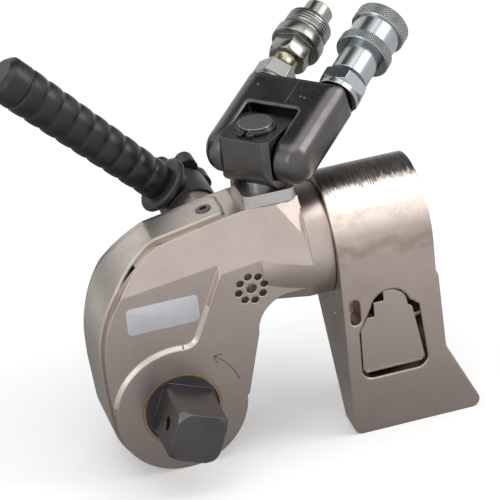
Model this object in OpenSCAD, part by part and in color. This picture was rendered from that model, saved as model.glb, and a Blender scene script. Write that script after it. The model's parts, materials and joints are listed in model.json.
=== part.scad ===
// Square-drive hydraulic torque wrench.
// The origin is on the drive axis, in the face of the drive boss.
// +X runs along the cylinder to the reaction arm, -Y along the square drive and +Z up.

/* [Head] */
// Thickness of the head at the drive boss
head_t = 48; // [46:0.5:54]
// Radius of the nose round the drive
nose_r = 33.5; // [32.5:0.5:36]
// Distance from the drive axis to the back of the head
head_back = 35; // [34.5:0.5:38]
// Distance from the cylinder axis down to where the back starts to curve into the roof
shoulder_drop = 35.5; // [31:0.5:39]
// Radius of the curve from the back to the roof
shoulder_r = 65; // [64:0.5:68]
// Depth of the side panel below the drive boss
panel_recess = 2; // [0.5:0.25:3]
// Width of the slope from the drive boss down to the panel
step_slope = 1.6; // [0.5:0.1:2.5]
// Radius of the inside corner of that slope
step_round = 8; // [5:0.5:10]
// Height of the cylinder flank over the drive boss
flank_rise = 1; // [0.5:0.25:2]
// Height of the flat roof over the cylinder axis
roof_h = 30; // [28.5:0.5:33]
// Width of the flat roof
roof_w = 27; // [25:0.5:30]
// Distance from the drive axis to the start of the flat roof
roof_x = 43; // [40:0.5:44]
// Fall of the roof towards the back, in degrees
roof_fall = 10.5; // [9:0.5:12]
// Lean of the roof sides from upright, in degrees
roof_side = 24; // [20:1:27]
// Slope of the roof sides along the cylinder, in degrees
roof_pitch = 7.5; // [5:0.5:9]
// Distance from the drive axis to the end of the flanks
flank_end = 73; // [73:0.5:78]
// Radius of the inside corner between the neck and the cylinder
neck_fillet = 18; // [14:0.5:19]

/* [Shroud] */
// Thickness of the shroud strip
shroud_t = 1.6; // [1:0.1:2.5]
// Width of the strip on the back of the head
shroud_w = 33; // [32:0.5:36]
// Width of the tongue on the roof
tongue_w = 19.5; // [16:0.5:22]
// Distance from the drive axis to the end of the tongue
tongue_x = 36; // [34:0.5:38]
// Radius of the shroud screws' heads
screw_head_r = 3.5; // [2.5:0.1:4]
// Radius of the shroud screws' shanks
screw_r = 2; // [1.5:0.1:2.2]
// Length of the shroud screws' shanks
screw_len = 4; // [3:0.5:4]

/* [Cylinder] */
// Height of the cylinder axis over the drive axis, which is the lever's length
lever_len = 65.5; // [65:0.25:66.5]
// Outer radius of the cylinder
cyl_r = 28.4; // [27.8:0.1:29.5]
// Radius of the piston bore
bore_r = 17.5; // [16:0.1:18.5]
// Distance from the drive axis to the end of the round barrel
barrel_end = 84; // [80:0.5:86]
// Length of the splined end that carries the reaction arm
spline_len = 47; // [44:0.5:52]
// Radius over the splines
spline_r = 27.3; // [26.5:0.1:27.6]
// Depth of the splines
spline_depth = 1.8; // [1:0.1:2.2]
// Number of splines
spline_n = 24; // [18:1:30]
// Depth of the lock groove below the splines
lock_groove = 1.2; // [0.8:0.1:2]
// Radius of the eight holes round the threaded one
index_hole_r = 1.9; // [1.4:0.1:2.2]
// Radius of the circle of holes
index_circle_r = 6.7; // [6.3:0.1:8]
// Radius of the threaded hole
index_thread_r = 2.65; // [2:0.05:3.4]
// Depth of the holes
index_depth = 8; // [5:0.5:9]

/* [Piston] */
// Radius of the piston rod
rod_r = 10; // [8.5:0.1:10.2]
// Length of the piston
piston_len = 16; // [14:0.5:20]
// Distance from the drive axis to the piston at rest
piston_x = 98; // [97:0.5:99]
// Radius of the rod's eye
eye_r = 12; // [11.2:0.1:12.3]
// Width of the rod's eye
eye_w = 19.4; // [16:0.2:19.6]
// Length of the screwed end cap
cap_len = 14; // [10:0.5:16]
// Depth of the seal grooves
seal_depth = 2.4; // [1.8:0.1:3]
// Width of the seals
seal_w = 3.4; // [2.5:0.1:5]

/* [Lever and ratchet] */
// Lean of the lever towards the cylinder at rest, in degrees
lever_rest = 17; // [15:0.5:17]
// Thickness of each lever plate
plate_t = 4.4; // [4:0.1:4.6]
// Radius of the lever's crank pin
crank_r = 6; // [5:0.1:6.2]
// Radius over the ratchet's teeth
ratchet_r = 26.5; // [26:0.1:27]
// Depth of the ratchet's teeth
tooth_depth = 1.6; // [1.2:0.1:2]
// Number of ratchet teeth
teeth = 60; // [40:1:72]
// Radius of the ratchet's hubs, which the lever swings on
hub_r = 21.5; // [20.5:0.1:22]
// Room between the raised pawl and the teeth
pawl_lift = 2.4; // [2:0.1:2.8]
// Radius of the pawl's pin
pawl_pin_r = 3; // [2.4:0.1:3.4]
// Thickness of the pawl's leaf spring
leaf_t = 0.8; // [0.5:0.1:1]

/* [Drive] */
// Size of the square drive
square = 25.4; // [22:0.1:26]
// Length of the square drive
square_len = 30; // [26:0.5:36]
// Turn of the square drive at rest, in degrees
square_turn = -21.5; // [-45:0.5:45]
// Radius over the square's rounded corners
square_corner_r = 16.9; // [16:0.1:17.2]
// Chamfer on the end of the square
square_chamfer = 2.6; // [1:0.1:3.5]
// Radius of the drive's journal in the front bush
journal_r = 18.85; // [18.4:0.05:19]
// Radius of the drive's tail in the rear bush
tail_r = 15.5; // [14:0.1:16]
// Radius of the bushes' seats
bush_r = 20; // [19.6:0.1:20.6]
// Length of each bush
bush_len = 9; // [8:0.25:10]
// Radius over the drive's splines
drive_spline_r = 17.5; // [17:0.1:18.2]
// Number of the drive's splines
drive_spline_n = 20; // [16:1:24]
// Radius of the socket detent hole
detent_r = 3.6; // [2.5:0.1:4.5]
// Radius of the release button
button_r = 6; // [4:0.25:8]
// Travel of the release button
button_travel = 2.5; // [1.5:0.25:3]

/* [Swivel] */
// Distance from the drive axis to the swivel's axis
swivel_x = 58.5; // [57:0.25:59]
// Size of the square swivel base
base_w = 27; // [25:0.5:28]
// Height of the swivel base
base_h = 6.5; // [5:0.25:8]
// Radius of the spigot
spigot_r = 8.5; // [7.5:0.1:8.8]
// Height of the tilt axis over the swivel base
pivot_h = 15.5; // [15.5:0.25:18]
// Width of the post along the tilt axis
post_w = 28; // [26:0.5:30]
// Depth of the post across the tilt axis
post_d = 30; // [28:0.5:30]
// Height of the post over the tilt axis
post_h = 14; // [12:0.5:15]
// Width of the facets on the post's upright edges
post_edge = 3; // [1:0.5:5]
// Turn of the swivel at rest, in degrees
swivel_turn = 47; // [0:1:90]
// Tilt of the manifold from upright at rest, in degrees
swivel_tilt = 72; // [0:1:80]
// Radius of the pivot pins
pivot_r = 7; // [6:0.1:8]
// Width of the manifold
fork_w = 57; // [54:0.5:60]
// Offset of the manifold from the post along the tilt axis
fork_offset = 1.75; // [0:0.25:3]
// Thickness of the manifold
fork_t = 24; // [22:0.5:26]
// Distance from the tilt axis to the manifold's port face
fork_reach = 44.5; // [42:0.5:50]
// Distance from the tilt axis to the end of the fork's slot
fork_slot = 22; // [21:0.5:24]
// Rounding of the manifold's long edges
fork_round = 9; // [4:0.5:10]

/* [Couplers] */
// Distance between the two ports
port_gap = 38; // [34:0.5:40]
// Radius of the ports
port_r = 6; // [5:0.1:6.5]
// Hexagon of the male adapter, across flats
male_hex = 19; // [17:0.5:22]
// Hexagon of the female adapter, across flats
female_hex = 22; // [20:0.5:24]
// Radius of the male coupler's collar
collar_r = 13.25; // [12.5:0.25:14]
// Radius of the male coupler's screwed ring
ring_r = 12; // [11:0.25:12.5]
// Radius of the male coupler's nose
nose_tip_r = 7.5; // [6:0.1:8]
// Length of the male coupler
male_len = 39.5; // [36:0.5:44]
// Radius of the female coupler's tube
tube_r = 10; // [9.5:0.1:10.5]
// Length of the female coupler's tube
tube_len = 42; // [40:0.5:48]
// Radius of the sleeve's knurled rings
knurl_r = 14.2; // [13:0.1:15]
// Radius of the sleeve between its rings
band_r = 12.5; // [11.5:0.1:12.9]
// Length of the sleeve
sleeve_len = 25.5; // [24:0.5:28]

/* [Reaction arm] */
// Wall of the arm's ring over the splines
arm_wall = 5; // [4:0.25:6]
// Length of the arm's ring
arm_len = 49; // [48:0.5:54]
// Thickness of the foot at the floor
foot_t = 12; // [10:0.5:16]
// Reach of the foot from the drive axis
foot_reach = 151; // [146:0.5:158]
// Height at which the foot starts to flare, from the drive axis
flare_z = 6; // [0:0.5:12]
// Rounding of the foot's lower corners
foot_round = 4.5; // [3:0.25:6]
// Depth of the window
window_depth = 18; // [16:0.25:18]
// Rounding of the window's lower corners
window_round = 6; // [4:0.25:7]
// Distance of the lock lever's pin below the cylinder axis
lock_drop = 43.5; // [43:0.25:44]
// Radius of the lock lever's pin
lock_pin_r = 2; // [1.5:0.1:2.4]

/* [Handle] */
// Distance from the drive axis to the handle's stud
handle_x = 29.3; // [28:0.1:30]
// Height of the handle's stud over the cylinder axis
handle_h = 12.2; // [10.5:0.1:12.5]
// Distance of the grip's axis behind the head's rear face
handle_y = 18; // [17:0.5:22]
// Lean of the grip from the cylinder's direction at rest, in degrees
handle_angle = 133; // [130:1:140]
// Radius of the handle's hub
handle_hub_r = 14; // [12.5:0.25:15]
// Radius of the finger guard
guard_r = 15; // [14:0.25:16]
// Distance from the stud to the finger guard
guard_x = 14.5; // [13:0.5:18]
// Distance from the stud to the grip's end
grip_end = 124; // [110:1:140]
// Radius of the grip at the guard
grip_r0 = 10; // [9:0.25:11]
// Radius of the grip at its end
grip_r1 = 11.8; // [11:0.1:12.6]
// Number of the grip's ribs
grip_ribs = 9; // [6:1:11]
// Radius of the handle's stud
stud_r = 4; // [3:0.25:5]
// Radius of the clamping knob
knob_r = 17; // [15:0.5:19]
// Thickness of the knob's lobes
knob_t = 10; // [8:0.5:14]
// Number of the knob's lobes
knob_lobes = 6; // [5:1:8]

/* [Hidden] */
$fn = 72;

// Clearance of running fits, of assembled pieces and of parts that pass each other
run_gap = 0.04;
seat_gap = 0.02;
free_gap = 0.3;

mid_y = head_t / 2;
floor_z = -nose_r;
cyl_z = lever_len;
shoulder_z = cyl_z - shoulder_drop;
roof_z = cyl_z + roof_h;
cyl_end = barrel_end + spline_len;
shoulder_x = shoulder_r - head_back;
back_z = shoulder_z - 10;
neck_x = nose_r + 9.5;
neck_z = shoulder_z + 3;
flank_z = neck_z + neck_fillet;
step_a = [nose_r * 0.3, nose_r * 0.95];
step_b = [roof_x - 9.4, roof_z - (roof_x + 15) * tan(roof_fall)];
step_dir = (step_b - step_a) / norm(step_b - step_a);
step_out = [-step_dir[1], step_dir[0]];
step_near = step_a + step_round * step_out;
step_run = sqrt((nose_r + step_round) ^ 2 - step_near * step_near + (step_near * step_dir) ^ 2);
step_bend = step_near + (step_run - step_near * step_dir) * step_dir;
step_turn = step_bend - step_round * step_out;
step_meet = step_bend * nose_r / (nose_r + step_round);
step_edge = 0.15;
index_x = neck_x - 1.4;
index_z = flank_z + 7.2;

cavity_w = head_t - 2 * bush_len;
cavity_r = ratchet_r + 2.5;
cavity_x = lever_len * sin(lever_rest) + eye_r + 1.35;
cavity_z = cyl_z + eye_r + 1.5;
plate_y = bush_len + free_gap;
crank_x = lever_len * sin(lever_rest);
slot_side = crank_r + 0.25;
slot_drop = lever_len * (1 - cos(lever_rest)) + 0.25;
gland_end = piston_x - 32;
seal_back = 8;
ratchet_w = cavity_w - 2 * (plate_t + 2 * free_gap);

toe_angle = 103;
toe = (ratchet_r + pawl_lift) * [cos(toe_angle), sin(toe_angle)];
tooth_phase = 2.75;
pawl_pivot = [7, ratchet_r + 17.5];
pawl_pivot_r = 2 * pawl_pin_r;
pawl_back = pawl_pivot + [-4.9, 2.4];
pawl_nose = toe + [-0.9, 3];
pawl_w = ratchet_w - 2 * free_gap;
leaf_dir = (pawl_nose - pawl_back) / norm(pawl_nose - pawl_back);
leaf_out = [leaf_dir[1], -leaf_dir[0]];
leaf_start = pawl_pivot + (pawl_pivot_r + free_gap) * leaf_out;
leaf_len = 13;
leaf_pin_r = 2;
leaf_pin = leaf_start + (leaf_t + leaf_pin_r) * leaf_out + 2.4 * leaf_dir;

base_z = roof_z + base_h;
pivot_z = base_z + pivot_h;
post_top = pivot_z + post_h;
circlip_t = 1.4;
circlip_z = post_top + free_gap;
spigot_top = circlip_z + circlip_t + 1.3;

plug_len = 9.5;
tube_z = fork_reach + 10;
sleeve_z = tube_z + tube_len + 3 - sleeve_len;
male_z = fork_reach + 18.5;

arm_r = spline_r + arm_wall;
arm_x = barrel_end + free_gap;
arm_end = arm_x + arm_len;
arm_front = mid_y - arm_r;
window_back = arm_front + window_depth;
window_x = arm_x + 6.7;
window_w = 34.8;
lock_z = cyl_z - lock_drop;
window_z = lock_z - 25.1;
lock_x = window_x + 7.5;
lock_w = 14.5;
lock_y = arm_front + 10.5;
latch_gap = 1.2;
latch_t = 4.4;
latch_face = arm_front + 1.6;
latch_back = latch_face + latch_t;
hook_x = window_x + 14.8;
lock_pin_len = window_w + 5;
groove_r = spline_r - spline_depth - lock_groove;
groove_x = lock_x - 1;
groove_len = lock_w + 2;

boss_end = head_t + 3.5;
grip_y = head_t + handle_y;
handle_z = cyl_z + handle_h;
hub_side = guard_r - 4.5;
hub_back = grip_y + hub_side;
knob_y = grip_y + guard_r + free_gap;
stud_end = knob_y + knob_t;

plated = "#b3a69e";
satin = "#c4c2c0";
oxide = "#3c3c3f";
zinc = "#aab4b9";
black = "#2d2d32";
bronze = "#c8a578";
bright = "#9a9ca0";

// Height of the sloping roof at a distance x from the drive axis
function roof_at(x) = roof_z - (roof_x - x) * tan(roof_fall);

// Point where a line from p touches a circle of radius r round the origin
function touch(p, r, side) =
    let (a = atan2(p[1], p[0]) + side * acos(r / norm(p)))
    r * [cos(a), sin(a)];

// Place of a port along the tilt axis
function port_x(side) = fork_offset + side * port_gap / 2;

// Radius that gives a hexagon its size across flats
function hex_r(flats) = flats / 2 / cos(30);

// Extrudes an outline drawn in X and Z from y0 to y1
module slab(y0, y1) {
    translate([0, y1, 0]) rotate([90, 0, 0]) linear_extrude(y1 - y0) children();
}

// Extrudes an outline drawn in Y and Z from x0 to x1
module bar(x0, x1) {
    translate([x0, 0, 0]) rotate([90, 0, 90]) linear_extrude(x1 - x0) children();
}

// Round bar along Y
module rod_y(x, z, r, y0, y1) {
    translate([x, y1, z]) rotate([90, 0, 0]) cylinder(r = r, h = y1 - y0);
}

// Round bar along the cylinder's axis
module rod_x(r, x0, x1) {
    translate([x0, mid_y, cyl_z]) rotate([0, 90, 0]) cylinder(r = r, h = x1 - x0);
}

// Ring along the cylinder's axis
module ring_x(r_in, r_out, x0, x1) {
    difference() {
        rod_x(r_out, x0, x1);
        rod_x(r_in, x0 - 1, x1 + 1);
    }
}

// Toothed outline with flat-topped splines
module spline_outline(r, depth, n) {
    polygon([for (i = [0:n - 1], k = [0:3])
        let (a = 360 * (i + [-0.3, -0.2, 0.2, 0.3][k]) / n, p = k == 0 || k == 3 ? r - depth : r)
        p * [cos(a), sin(a)]]);
}

// Side view of the head, grown outwards by g
module head_outline(g = 0) {
    circle(r = nose_r + g);
    difference() {
        intersection() {
            polygon([touch([neck_x, neck_z], nose_r + g, -1), [neck_x, neck_z],
                [neck_x + neck_fillet, neck_z], [neck_x + neck_fillet, flank_z], [flank_end, flank_z],
                [flank_end, roof_z + g], [roof_x, roof_z + g],
                [-head_back - g, roof_at(-head_back - g) + g], [-head_back - g, back_z],
                touch([-head_back - g, back_z], nose_r + g, 1)]);
            union() {
                translate([shoulder_x, shoulder_z]) circle(r = shoulder_r + g, $fn = 160);
                translate([-head_back - g, -1]) square([head_back + g + neck_x, shoulder_z + 1]);
                circle(r = nose_r + g);
                translate([shoulder_x, 0]) square([flank_end - shoulder_x, roof_z + 2 * g + 1]);
            }
        }
        translate([neck_x + neck_fillet, neck_z]) circle(r = neck_fillet);
    }
}

// Point of the step's straight edge at height z
function step_at(z) = step_a + step_dir * (z - step_a[1]) / step_dir[1];

// Part of the side view that stands at the level of the drive boss
module boss_outline() {
    intersection() {
        head_outline();
        union() {
            circle(r = nose_r);
            polygon([step_a, step_b, [roof_x - 4, roof_z + 9], [flank_end, roof_z + 9], [flank_end, 0], [0, 0]]);
            step_corner(step_round - 0.05);
        }
    }
}

// Part of the side view that carries the cylinder
module flank_outline() {
    intersection() {
        head_outline();
        polygon([step_at(flank_z + 3), step_b, [roof_x - 4, roof_z + 9], [flank_end, roof_z + 9],
            [flank_end, flank_z - 12], [neck_x + 2, flank_z - 9]]);
    }
}

// Round inside corner where the boss meets the straight edge of the step
module step_corner(r) {
    difference() {
        polygon([0.9 * step_a, step_turn - 0.5 * step_out, step_bend, 0.98 * step_meet]);
        translate(step_bend) circle(r = r);
    }
}

// Slope from the boss down to the front panel: round the nose, in the corner and along the flank
module step_slopes() {
    fall = panel_recess - step_edge;
    intersection() {
        translate([0, step_edge, 0]) rotate([-90, 0, 0])
            cylinder(r1 = nose_r + 0.05, r2 = nose_r + step_slope, h = fall);
        slab(0, 2 * panel_recess)
            polygon([[0, 0], 2 * step_meet - 4 * step_dir, [-2 * nose_r, 2 * nose_r], [-2 * nose_r, 0.5 * nose_r]]);
    }
    difference() {
        slab(step_edge, panel_recess) step_corner(step_round / 2);
        translate([step_bend[0], step_edge, step_bend[1]]) rotate([-90, 0, 0])
            cylinder(r1 = step_round - 0.1, r2 = step_round - step_slope, h = fall);
    }
    slope_along(step_turn - 0.5 * step_dir, step_b, 0);
    slope_along(step_at(flank_z + 3), step_b, flank_rise);
}

// Sloping strip along the step's straight edge, from a height over the boss down to the panel
module slope_along(from, to, rise) {
    turn = atan2(step_dir[1], step_dir[0]);
    top = step_edge - rise;
    foot = panel_recess + 0.5;
    translate([from[0], 0, from[1]]) rotate([0, -turn, 0]) bar(0, norm(to - from))
        polygon([[top, 0.05], [top, -0.5], [foot, -0.5], [foot, step_slope], [panel_recess, step_slope]]);
}

// Cut that takes the front corner off the end of the roof side
module corner_cut() {
    top = [flank_end - 10, mid_y - roof_w / 2, roof_z];
    low = [flank_end + 1, -flank_rise, flank_z + 23];
    out = cross(low - top, [flank_end + 1, top[1] + 4, roof_z] - top);
    translate(top) rotate([0, acos(out[2] / norm(out)), atan2(out[1], out[0])])
        translate([-60, -60, 0]) cube([120, 120, 40]);
}

// Makes the same on the front and on the rear of the head
module both_sides() {
    children();
    translate([0, head_t, 0]) mirror([0, 1, 0]) children();
}

// Space between the two sloping roof sides
module roof_space() {
    drop = roof_z + nose_r + 60;
    wide = roof_w / 2 + drop * tan(roof_side);
    translate([roof_x, 0, roof_z]) rotate([0, -roof_pitch, 0]) bar(-120, 80)
        polygon([[mid_y - roof_w / 2, 0], [mid_y - roof_w / 2, 12], [mid_y + roof_w / 2, 12],
            [mid_y + roof_w / 2, 0], [mid_y + wide, -drop], [mid_y - wide, -drop]]);
}

// Cone that swells out of the flanks
module swell() {
    swell_x = flank_end - 25;
    translate([swell_x, mid_y, cyl_z]) rotate([0, 90, 0])
        cylinder(r1 = mid_y + flank_rise - 0.1, r2 = cyl_r, h = flank_end - swell_x);
}

// Round barrel, with the splined end for the arm
module barrel() {
    rod_x(cyl_r, flank_end - 0.5, barrel_end);
    bar(barrel_end - 1, groove_x) translate([mid_y, cyl_z]) spline_outline(spline_r, spline_depth, spline_n);
    rod_x(groove_r, groove_x - 1, groove_x + groove_len + 1);
    bar(groove_x + groove_len, cyl_end) translate([mid_y, cyl_z])
        spline_outline(spline_r, spline_depth, spline_n);
}

// Room for the lever, open at the back where the shroud closes it
module lever_cavity() {
    slab(mid_y - cavity_w / 2, mid_y + cavity_w / 2) {
        circle(r = cavity_r);
        polygon([[-2 * head_back, 0], [-2 * head_back, cavity_z], [cavity_x, cavity_z],
            [cavity_x, flank_z - 6], [cavity_r, shoulder_z], [cavity_r, 0]]);
    }
}

// Places the two shroud screws, on the tongue and at the foot of the strip
module at_shroud_screws() {
    screw_x = tongue_x - 8;
    translate([screw_x, mid_y, roof_at(screw_x)]) rotate([0, -roof_fall, 0]) children();
    translate([0, mid_y, 0]) rotate([0, 236, 0]) translate([0, 0, nose_r]) children();
}

// Ring of eight holes round a threaded hole, in the front flank
module index_holes() {
    y1 = index_depth - flank_rise;
    rod_y(index_x, index_z, index_thread_r, -flank_rise - 1, y1);
    for (i = [0:7])
        rod_y(index_x + index_circle_r * cos(45 * i + 10), index_z + index_circle_r * sin(45 * i + 10),
            index_hole_r, -flank_rise - 1, y1);
}

module body() color(plated) difference() {
    union() {
        intersection() {
            union() {
                slab(panel_recess, head_t - panel_recess) head_outline();
                slab(0, head_t) boss_outline();
                slab(-flank_rise, head_t + flank_rise) flank_outline();
                swell();
                both_sides() step_slopes();
            }
            roof_space();
            difference() {
                slab(-head_t, 2 * head_t) translate([-2 * head_back, -2 * nose_r]) square(4 * roof_z);
                both_sides() corner_cut();
            }
        }
        barrel();
        rod_y(handle_x, handle_z, handle_hub_r - 1, mid_y + cavity_w / 2, boss_end);
    }
    lever_cavity();
    rod_y(0, 0, bush_r + seat_gap, -1, bush_len + 1);
    rod_y(0, 0, bush_r + seat_gap, head_t - bush_len - 1, head_t + 1);
    rod_x(rod_r + run_gap, cavity_x - 1, gland_end + 1);
    rod_x(rod_r + seal_depth, gland_end - seal_back, gland_end - seal_back + seal_w);
    rod_x(bore_r, gland_end, cyl_end + 1);
    index_holes();
    translate([swivel_x, mid_y, roof_z - 10]) cylinder(r = spigot_r - 2 + seat_gap, h = 20);
    rod_y(handle_x, handle_z, stud_r + seat_gap, mid_y + cavity_w / 2 + 3, boss_end + 1);
    at_shroud_screws() translate([0, 0, -screw_len]) cylinder(r = screw_r + seat_gap, h = screw_len + 2);
}

module shroud() color(satin) {
    narrow_z = roof_at(-12);
    wide_z = shoulder_z + 38;
    end_round = 4;
    difference() {
        intersection() {
            slab(0, head_t) difference() {
                head_outline(shroud_t);
                head_outline();
            }
            bar(-2 * head_back, tongue_x)
                polygon([[mid_y - shroud_w / 2, -nose_r], [mid_y - shroud_w / 2, wide_z],
                    [mid_y - tongue_w / 2, narrow_z], [mid_y - tongue_w / 2, roof_z + 9],
                    [mid_y + tongue_w / 2, roof_z + 9], [mid_y + tongue_w / 2, narrow_z],
                    [mid_y + shroud_w / 2, wide_z], [mid_y + shroud_w / 2, -nose_r]]);
            union() {
                translate([-2 * head_back, 0, -nose_r]) cube([2 * head_back - 0.6 * nose_r, head_t, 2 * nose_r]);
                translate([-2 * head_back, 0, shoulder_z]) cube([2 * head_back + tongue_x - end_round, head_t, roof_z]);
                translate([0, mid_y - tongue_w / 2 + end_round, shoulder_z])
                    cube([tongue_x, tongue_w - 2 * end_round, roof_z]);
                for (s = [-1, 1])
                    translate([tongue_x - end_round, mid_y + s * (tongue_w / 2 - end_round), shoulder_z])
                        cylinder(r = end_round, h = roof_z);
            }
        }
        at_shroud_screws() translate([0, 0, -1]) cylinder(r = screw_head_r + seat_gap, h = shroud_t + 4);
    }
}

module shroud_screws() color(bright) at_shroud_screws() difference() {
    union() {
        cylinder(r = screw_head_r, h = shroud_t + 0.4);
        translate([0, 0, -screw_len]) cylinder(r = screw_r, h = screw_len + 1);
    }
    translate([0, 0, shroud_t - 1]) cylinder(r = hex_r(screw_head_r), h = 3, $fn = 6);
}

module front_bush() color(bronze) difference() {
    rod_y(0, 0, bush_r, 0, bush_len);
    rod_y(0, 0, journal_r + run_gap, -1, bush_len + 1);
}

module rear_bush() color(bronze) difference() {
    rod_y(0, 0, bush_r, head_t - bush_len, head_t);
    rod_y(0, 0, tail_r + run_gap, head_t - bush_len - 1, head_t + 1);
}

module rod_seal() color(black)
    ring_x(rod_r + run_gap, rod_r + seal_depth - seat_gap, gland_end - seal_back + seat_gap, gland_end - seal_back + seal_w - seat_gap);

module end_cap() color(bright) difference() {
    rod_x(bore_r - seat_gap, cyl_end - cap_len, cyl_end);
    ring_x(bore_r - seal_depth, bore_r + 1, cyl_end - cap_len + 3, cyl_end - cap_len + 3 + seal_w);
    for (s = [-1, 1])
        translate([cyl_end - 5, mid_y + s * bore_r * 0.6, cyl_z]) rotate([0, 90, 0]) cylinder(r = 2.2, h = 6);
}

module end_seal() color(black)
    ring_x(bore_r - seal_depth + seat_gap, bore_r - seat_gap, cyl_end - cap_len + 3 + seat_gap,
        cyl_end - cap_len + 3 + seal_w - seat_gap);

module swivel_base() color(satin) difference() {
    corner = 4;
    translate([swivel_x, mid_y, roof_z]) linear_extrude(base_h) {
        square([base_w, base_w - 2 * corner], center = true);
        square([base_w - 2 * corner, base_w], center = true);
        for (sx = [-1, 1], sy = [-1, 1])
            translate([sx * (base_w / 2 - corner), sy * (base_w / 2 - corner)]) circle(r = corner);
    }
    translate([swivel_x, mid_y, roof_z - 1]) cylinder(r = spigot_r + seat_gap, h = base_h + 2);
}

module spigot() color(bright) translate([swivel_x, mid_y, 0]) difference() {
    union() {
        translate([0, 0, roof_z - 9.5]) cylinder(r = spigot_r - 2, h = 10);
        translate([0, 0, roof_z]) cylinder(r = spigot_r, h = spigot_top - roof_z);
    }
    translate([0, 0, circlip_z - seat_gap]) difference() {
        cylinder(r = spigot_r + 1, h = circlip_t + 2 * seat_gap);
        translate([0, 0, -1]) cylinder(r = spigot_r - 1, h = circlip_t + 3);
    }
}

// Ring with a gap and two ears that face the front of the post
module circlip() color(bright) translate([swivel_x, mid_y, circlip_z]) rotate(-90 - swivel_turn)
    linear_extrude(circlip_t) difference() {
        union() {
            circle(r = spigot_r + 1.4);
            for (s = [-1, 1]) translate([spigot_r + 1.5, s * 2.6]) circle(r = 1.9);
        }
        circle(r = spigot_r - 1 + seat_gap);
        translate([0, -0.8]) square([2 * spigot_r, 1.6]);
        for (s = [-1, 1]) translate([spigot_r + 1.8, s * 2.6]) circle(r = 0.8, $fn = 16);
    }

module square_drive() color(oxide) difference() {
    union() {
        rod_y(0, 0, journal_r, 1.5, plate_y);
        slab(plate_y - 1, head_t - bush_len - free_gap)
            spline_outline(drive_spline_r, 1.4, drive_spline_n);
        rod_y(0, 0, tail_r, head_t - bush_len - 1, head_t);
        intersection() {
            slab(-square_len, 3) rotate(square_turn) square(square, center = true);
            rotate([90, 0, 0]) rotate_extrude() polygon([[0, -4], [square_corner_r, -4],
                [square_corner_r, square_len - square_chamfer], [square_corner_r - square_chamfer, square_len],
                [0, square_len]]);
        }
    }
    rotate([0, -square_turn, 0]) translate([-square / 2 - 1, -square_len * 0.55, 0]) rotate([0, 90, 0])
        cylinder(r = detent_r, h = 6);
    rod_y(0, 0, button_r + run_gap, head_t - 8, head_t + 1);
}

// Wheel with raked teeth between two plain hubs
module ratchet() color(oxide) difference() {
    union() {
        slab(mid_y - ratchet_w / 2, mid_y + ratchet_w / 2)
            polygon([for (i = [0:teeth - 1], k = [0:1])
                let (a = 360 * (i + 0.133 * k) / teeth + tooth_phase)
                (ratchet_r - tooth_depth * (1 - k)) * [cos(a), sin(a)]]);
        rod_y(0, 0, hub_r, plate_y, head_t - plate_y);
    }
    slab(0, head_t) spline_outline(drive_spline_r + run_gap, 1.4, drive_spline_n);
}

module drive_retainer() color(oxide) difference() {
    rod_y(0, 0, tail_r + 2.5, head_t + free_gap, head_t + 3.5);
    rod_y(0, 0, button_r + run_gap, head_t, head_t + 4);
}

module release_button() color(bright)
    rod_y(0, 0, button_r, head_t - 8 + button_travel + free_gap, head_t + 3.5 + button_travel);

// Side view of a lever plate, upright
module plate_outline() {
    difference() {
        union() {
            circle(r = ratchet_r + 1);
            polygon([[-22, 15], [-9, lever_len - 4], [9, lever_len - 4], [22, 15]]);
            translate([0, lever_len]) circle(r = eye_r - 1.5);
        }
        circle(r = hub_r + run_gap);
        translate([0, lever_len]) circle(r = crank_r + seat_gap);
        translate(pawl_pivot) circle(r = pawl_pin_r + seat_gap);
        translate(leaf_pin) circle(r = leaf_pin_r + seat_gap);
    }
}

// Pin across both lever plates, at a point of the upright lever
module lever_pin(p, r) {
    slab(plate_y, head_t - plate_y) rotate(-lever_rest) translate(p) circle(r = r);
}

module lever_plates() color(bright) {
    slab(plate_y, plate_y + plate_t) rotate(-lever_rest) plate_outline();
    slab(head_t - plate_y - plate_t, head_t - plate_y) rotate(-lever_rest) plate_outline();
}

module crank_pin() color(satin) lever_pin([0, lever_len], crank_r);

module pawl_pin() color(satin) lever_pin(pawl_pivot, pawl_pin_r);

module spring_pin() color(satin) lever_pin(leaf_pin, leaf_pin_r);

module pawl_spring() color(satin)
    slab(mid_y - pawl_w / 4, mid_y + pawl_w / 4) rotate(-lever_rest)
        polygon([leaf_start, leaf_start + leaf_t * leaf_out, leaf_start + leaf_t * leaf_out + leaf_len * leaf_dir,
            leaf_start + leaf_len * leaf_dir]);

module drive_pawl() color(oxide)
    slab(mid_y - pawl_w / 2, mid_y + pawl_w / 2) rotate(-lever_rest) difference() {
        union() {
            translate(pawl_pivot) circle(r = pawl_pivot_r);
            polygon([pawl_nose, toe, toe + [3, 1.4], pawl_pivot + [4.7, -2.7], pawl_back]);
        }
        translate(pawl_pivot) circle(r = pawl_pin_r + run_gap);
    }

module piston() color(bright) difference() {
    rod_x(bore_r - run_gap, piston_x, piston_x + piston_len);
    rod_x(rod_r - 2 + seat_gap, piston_x - 1, piston_x + piston_len - 4);
    ring_x(bore_r - seal_depth, bore_r + 1, piston_x + piston_len / 2, piston_x + piston_len / 2 + seal_w);
}

module piston_seal() color(black)
    ring_x(bore_r - seal_depth + seat_gap, bore_r - run_gap, piston_x + piston_len / 2 + seat_gap,
        piston_x + piston_len / 2 + seal_w - seat_gap);

// Rod with an eye whose slot takes up the rise and fall of the crank pin
module piston_rod() color(satin) difference() {
    union() {
        rod_x(rod_r, crank_x, piston_x);
        rod_x(rod_r - 2, piston_x - 1, piston_x + piston_len - 4 - seat_gap);
        rod_y(crank_x, cyl_z, eye_r, mid_y - eye_w / 2, mid_y + eye_w / 2);
    }
    for (drop = [0, slot_drop]) rod_y(crank_x, cyl_z - drop, slot_side, 0, head_t);
    translate([crank_x - slot_side, 0, cyl_z - slot_drop]) cube([2 * slot_side, head_t, slot_drop]);
}

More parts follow.
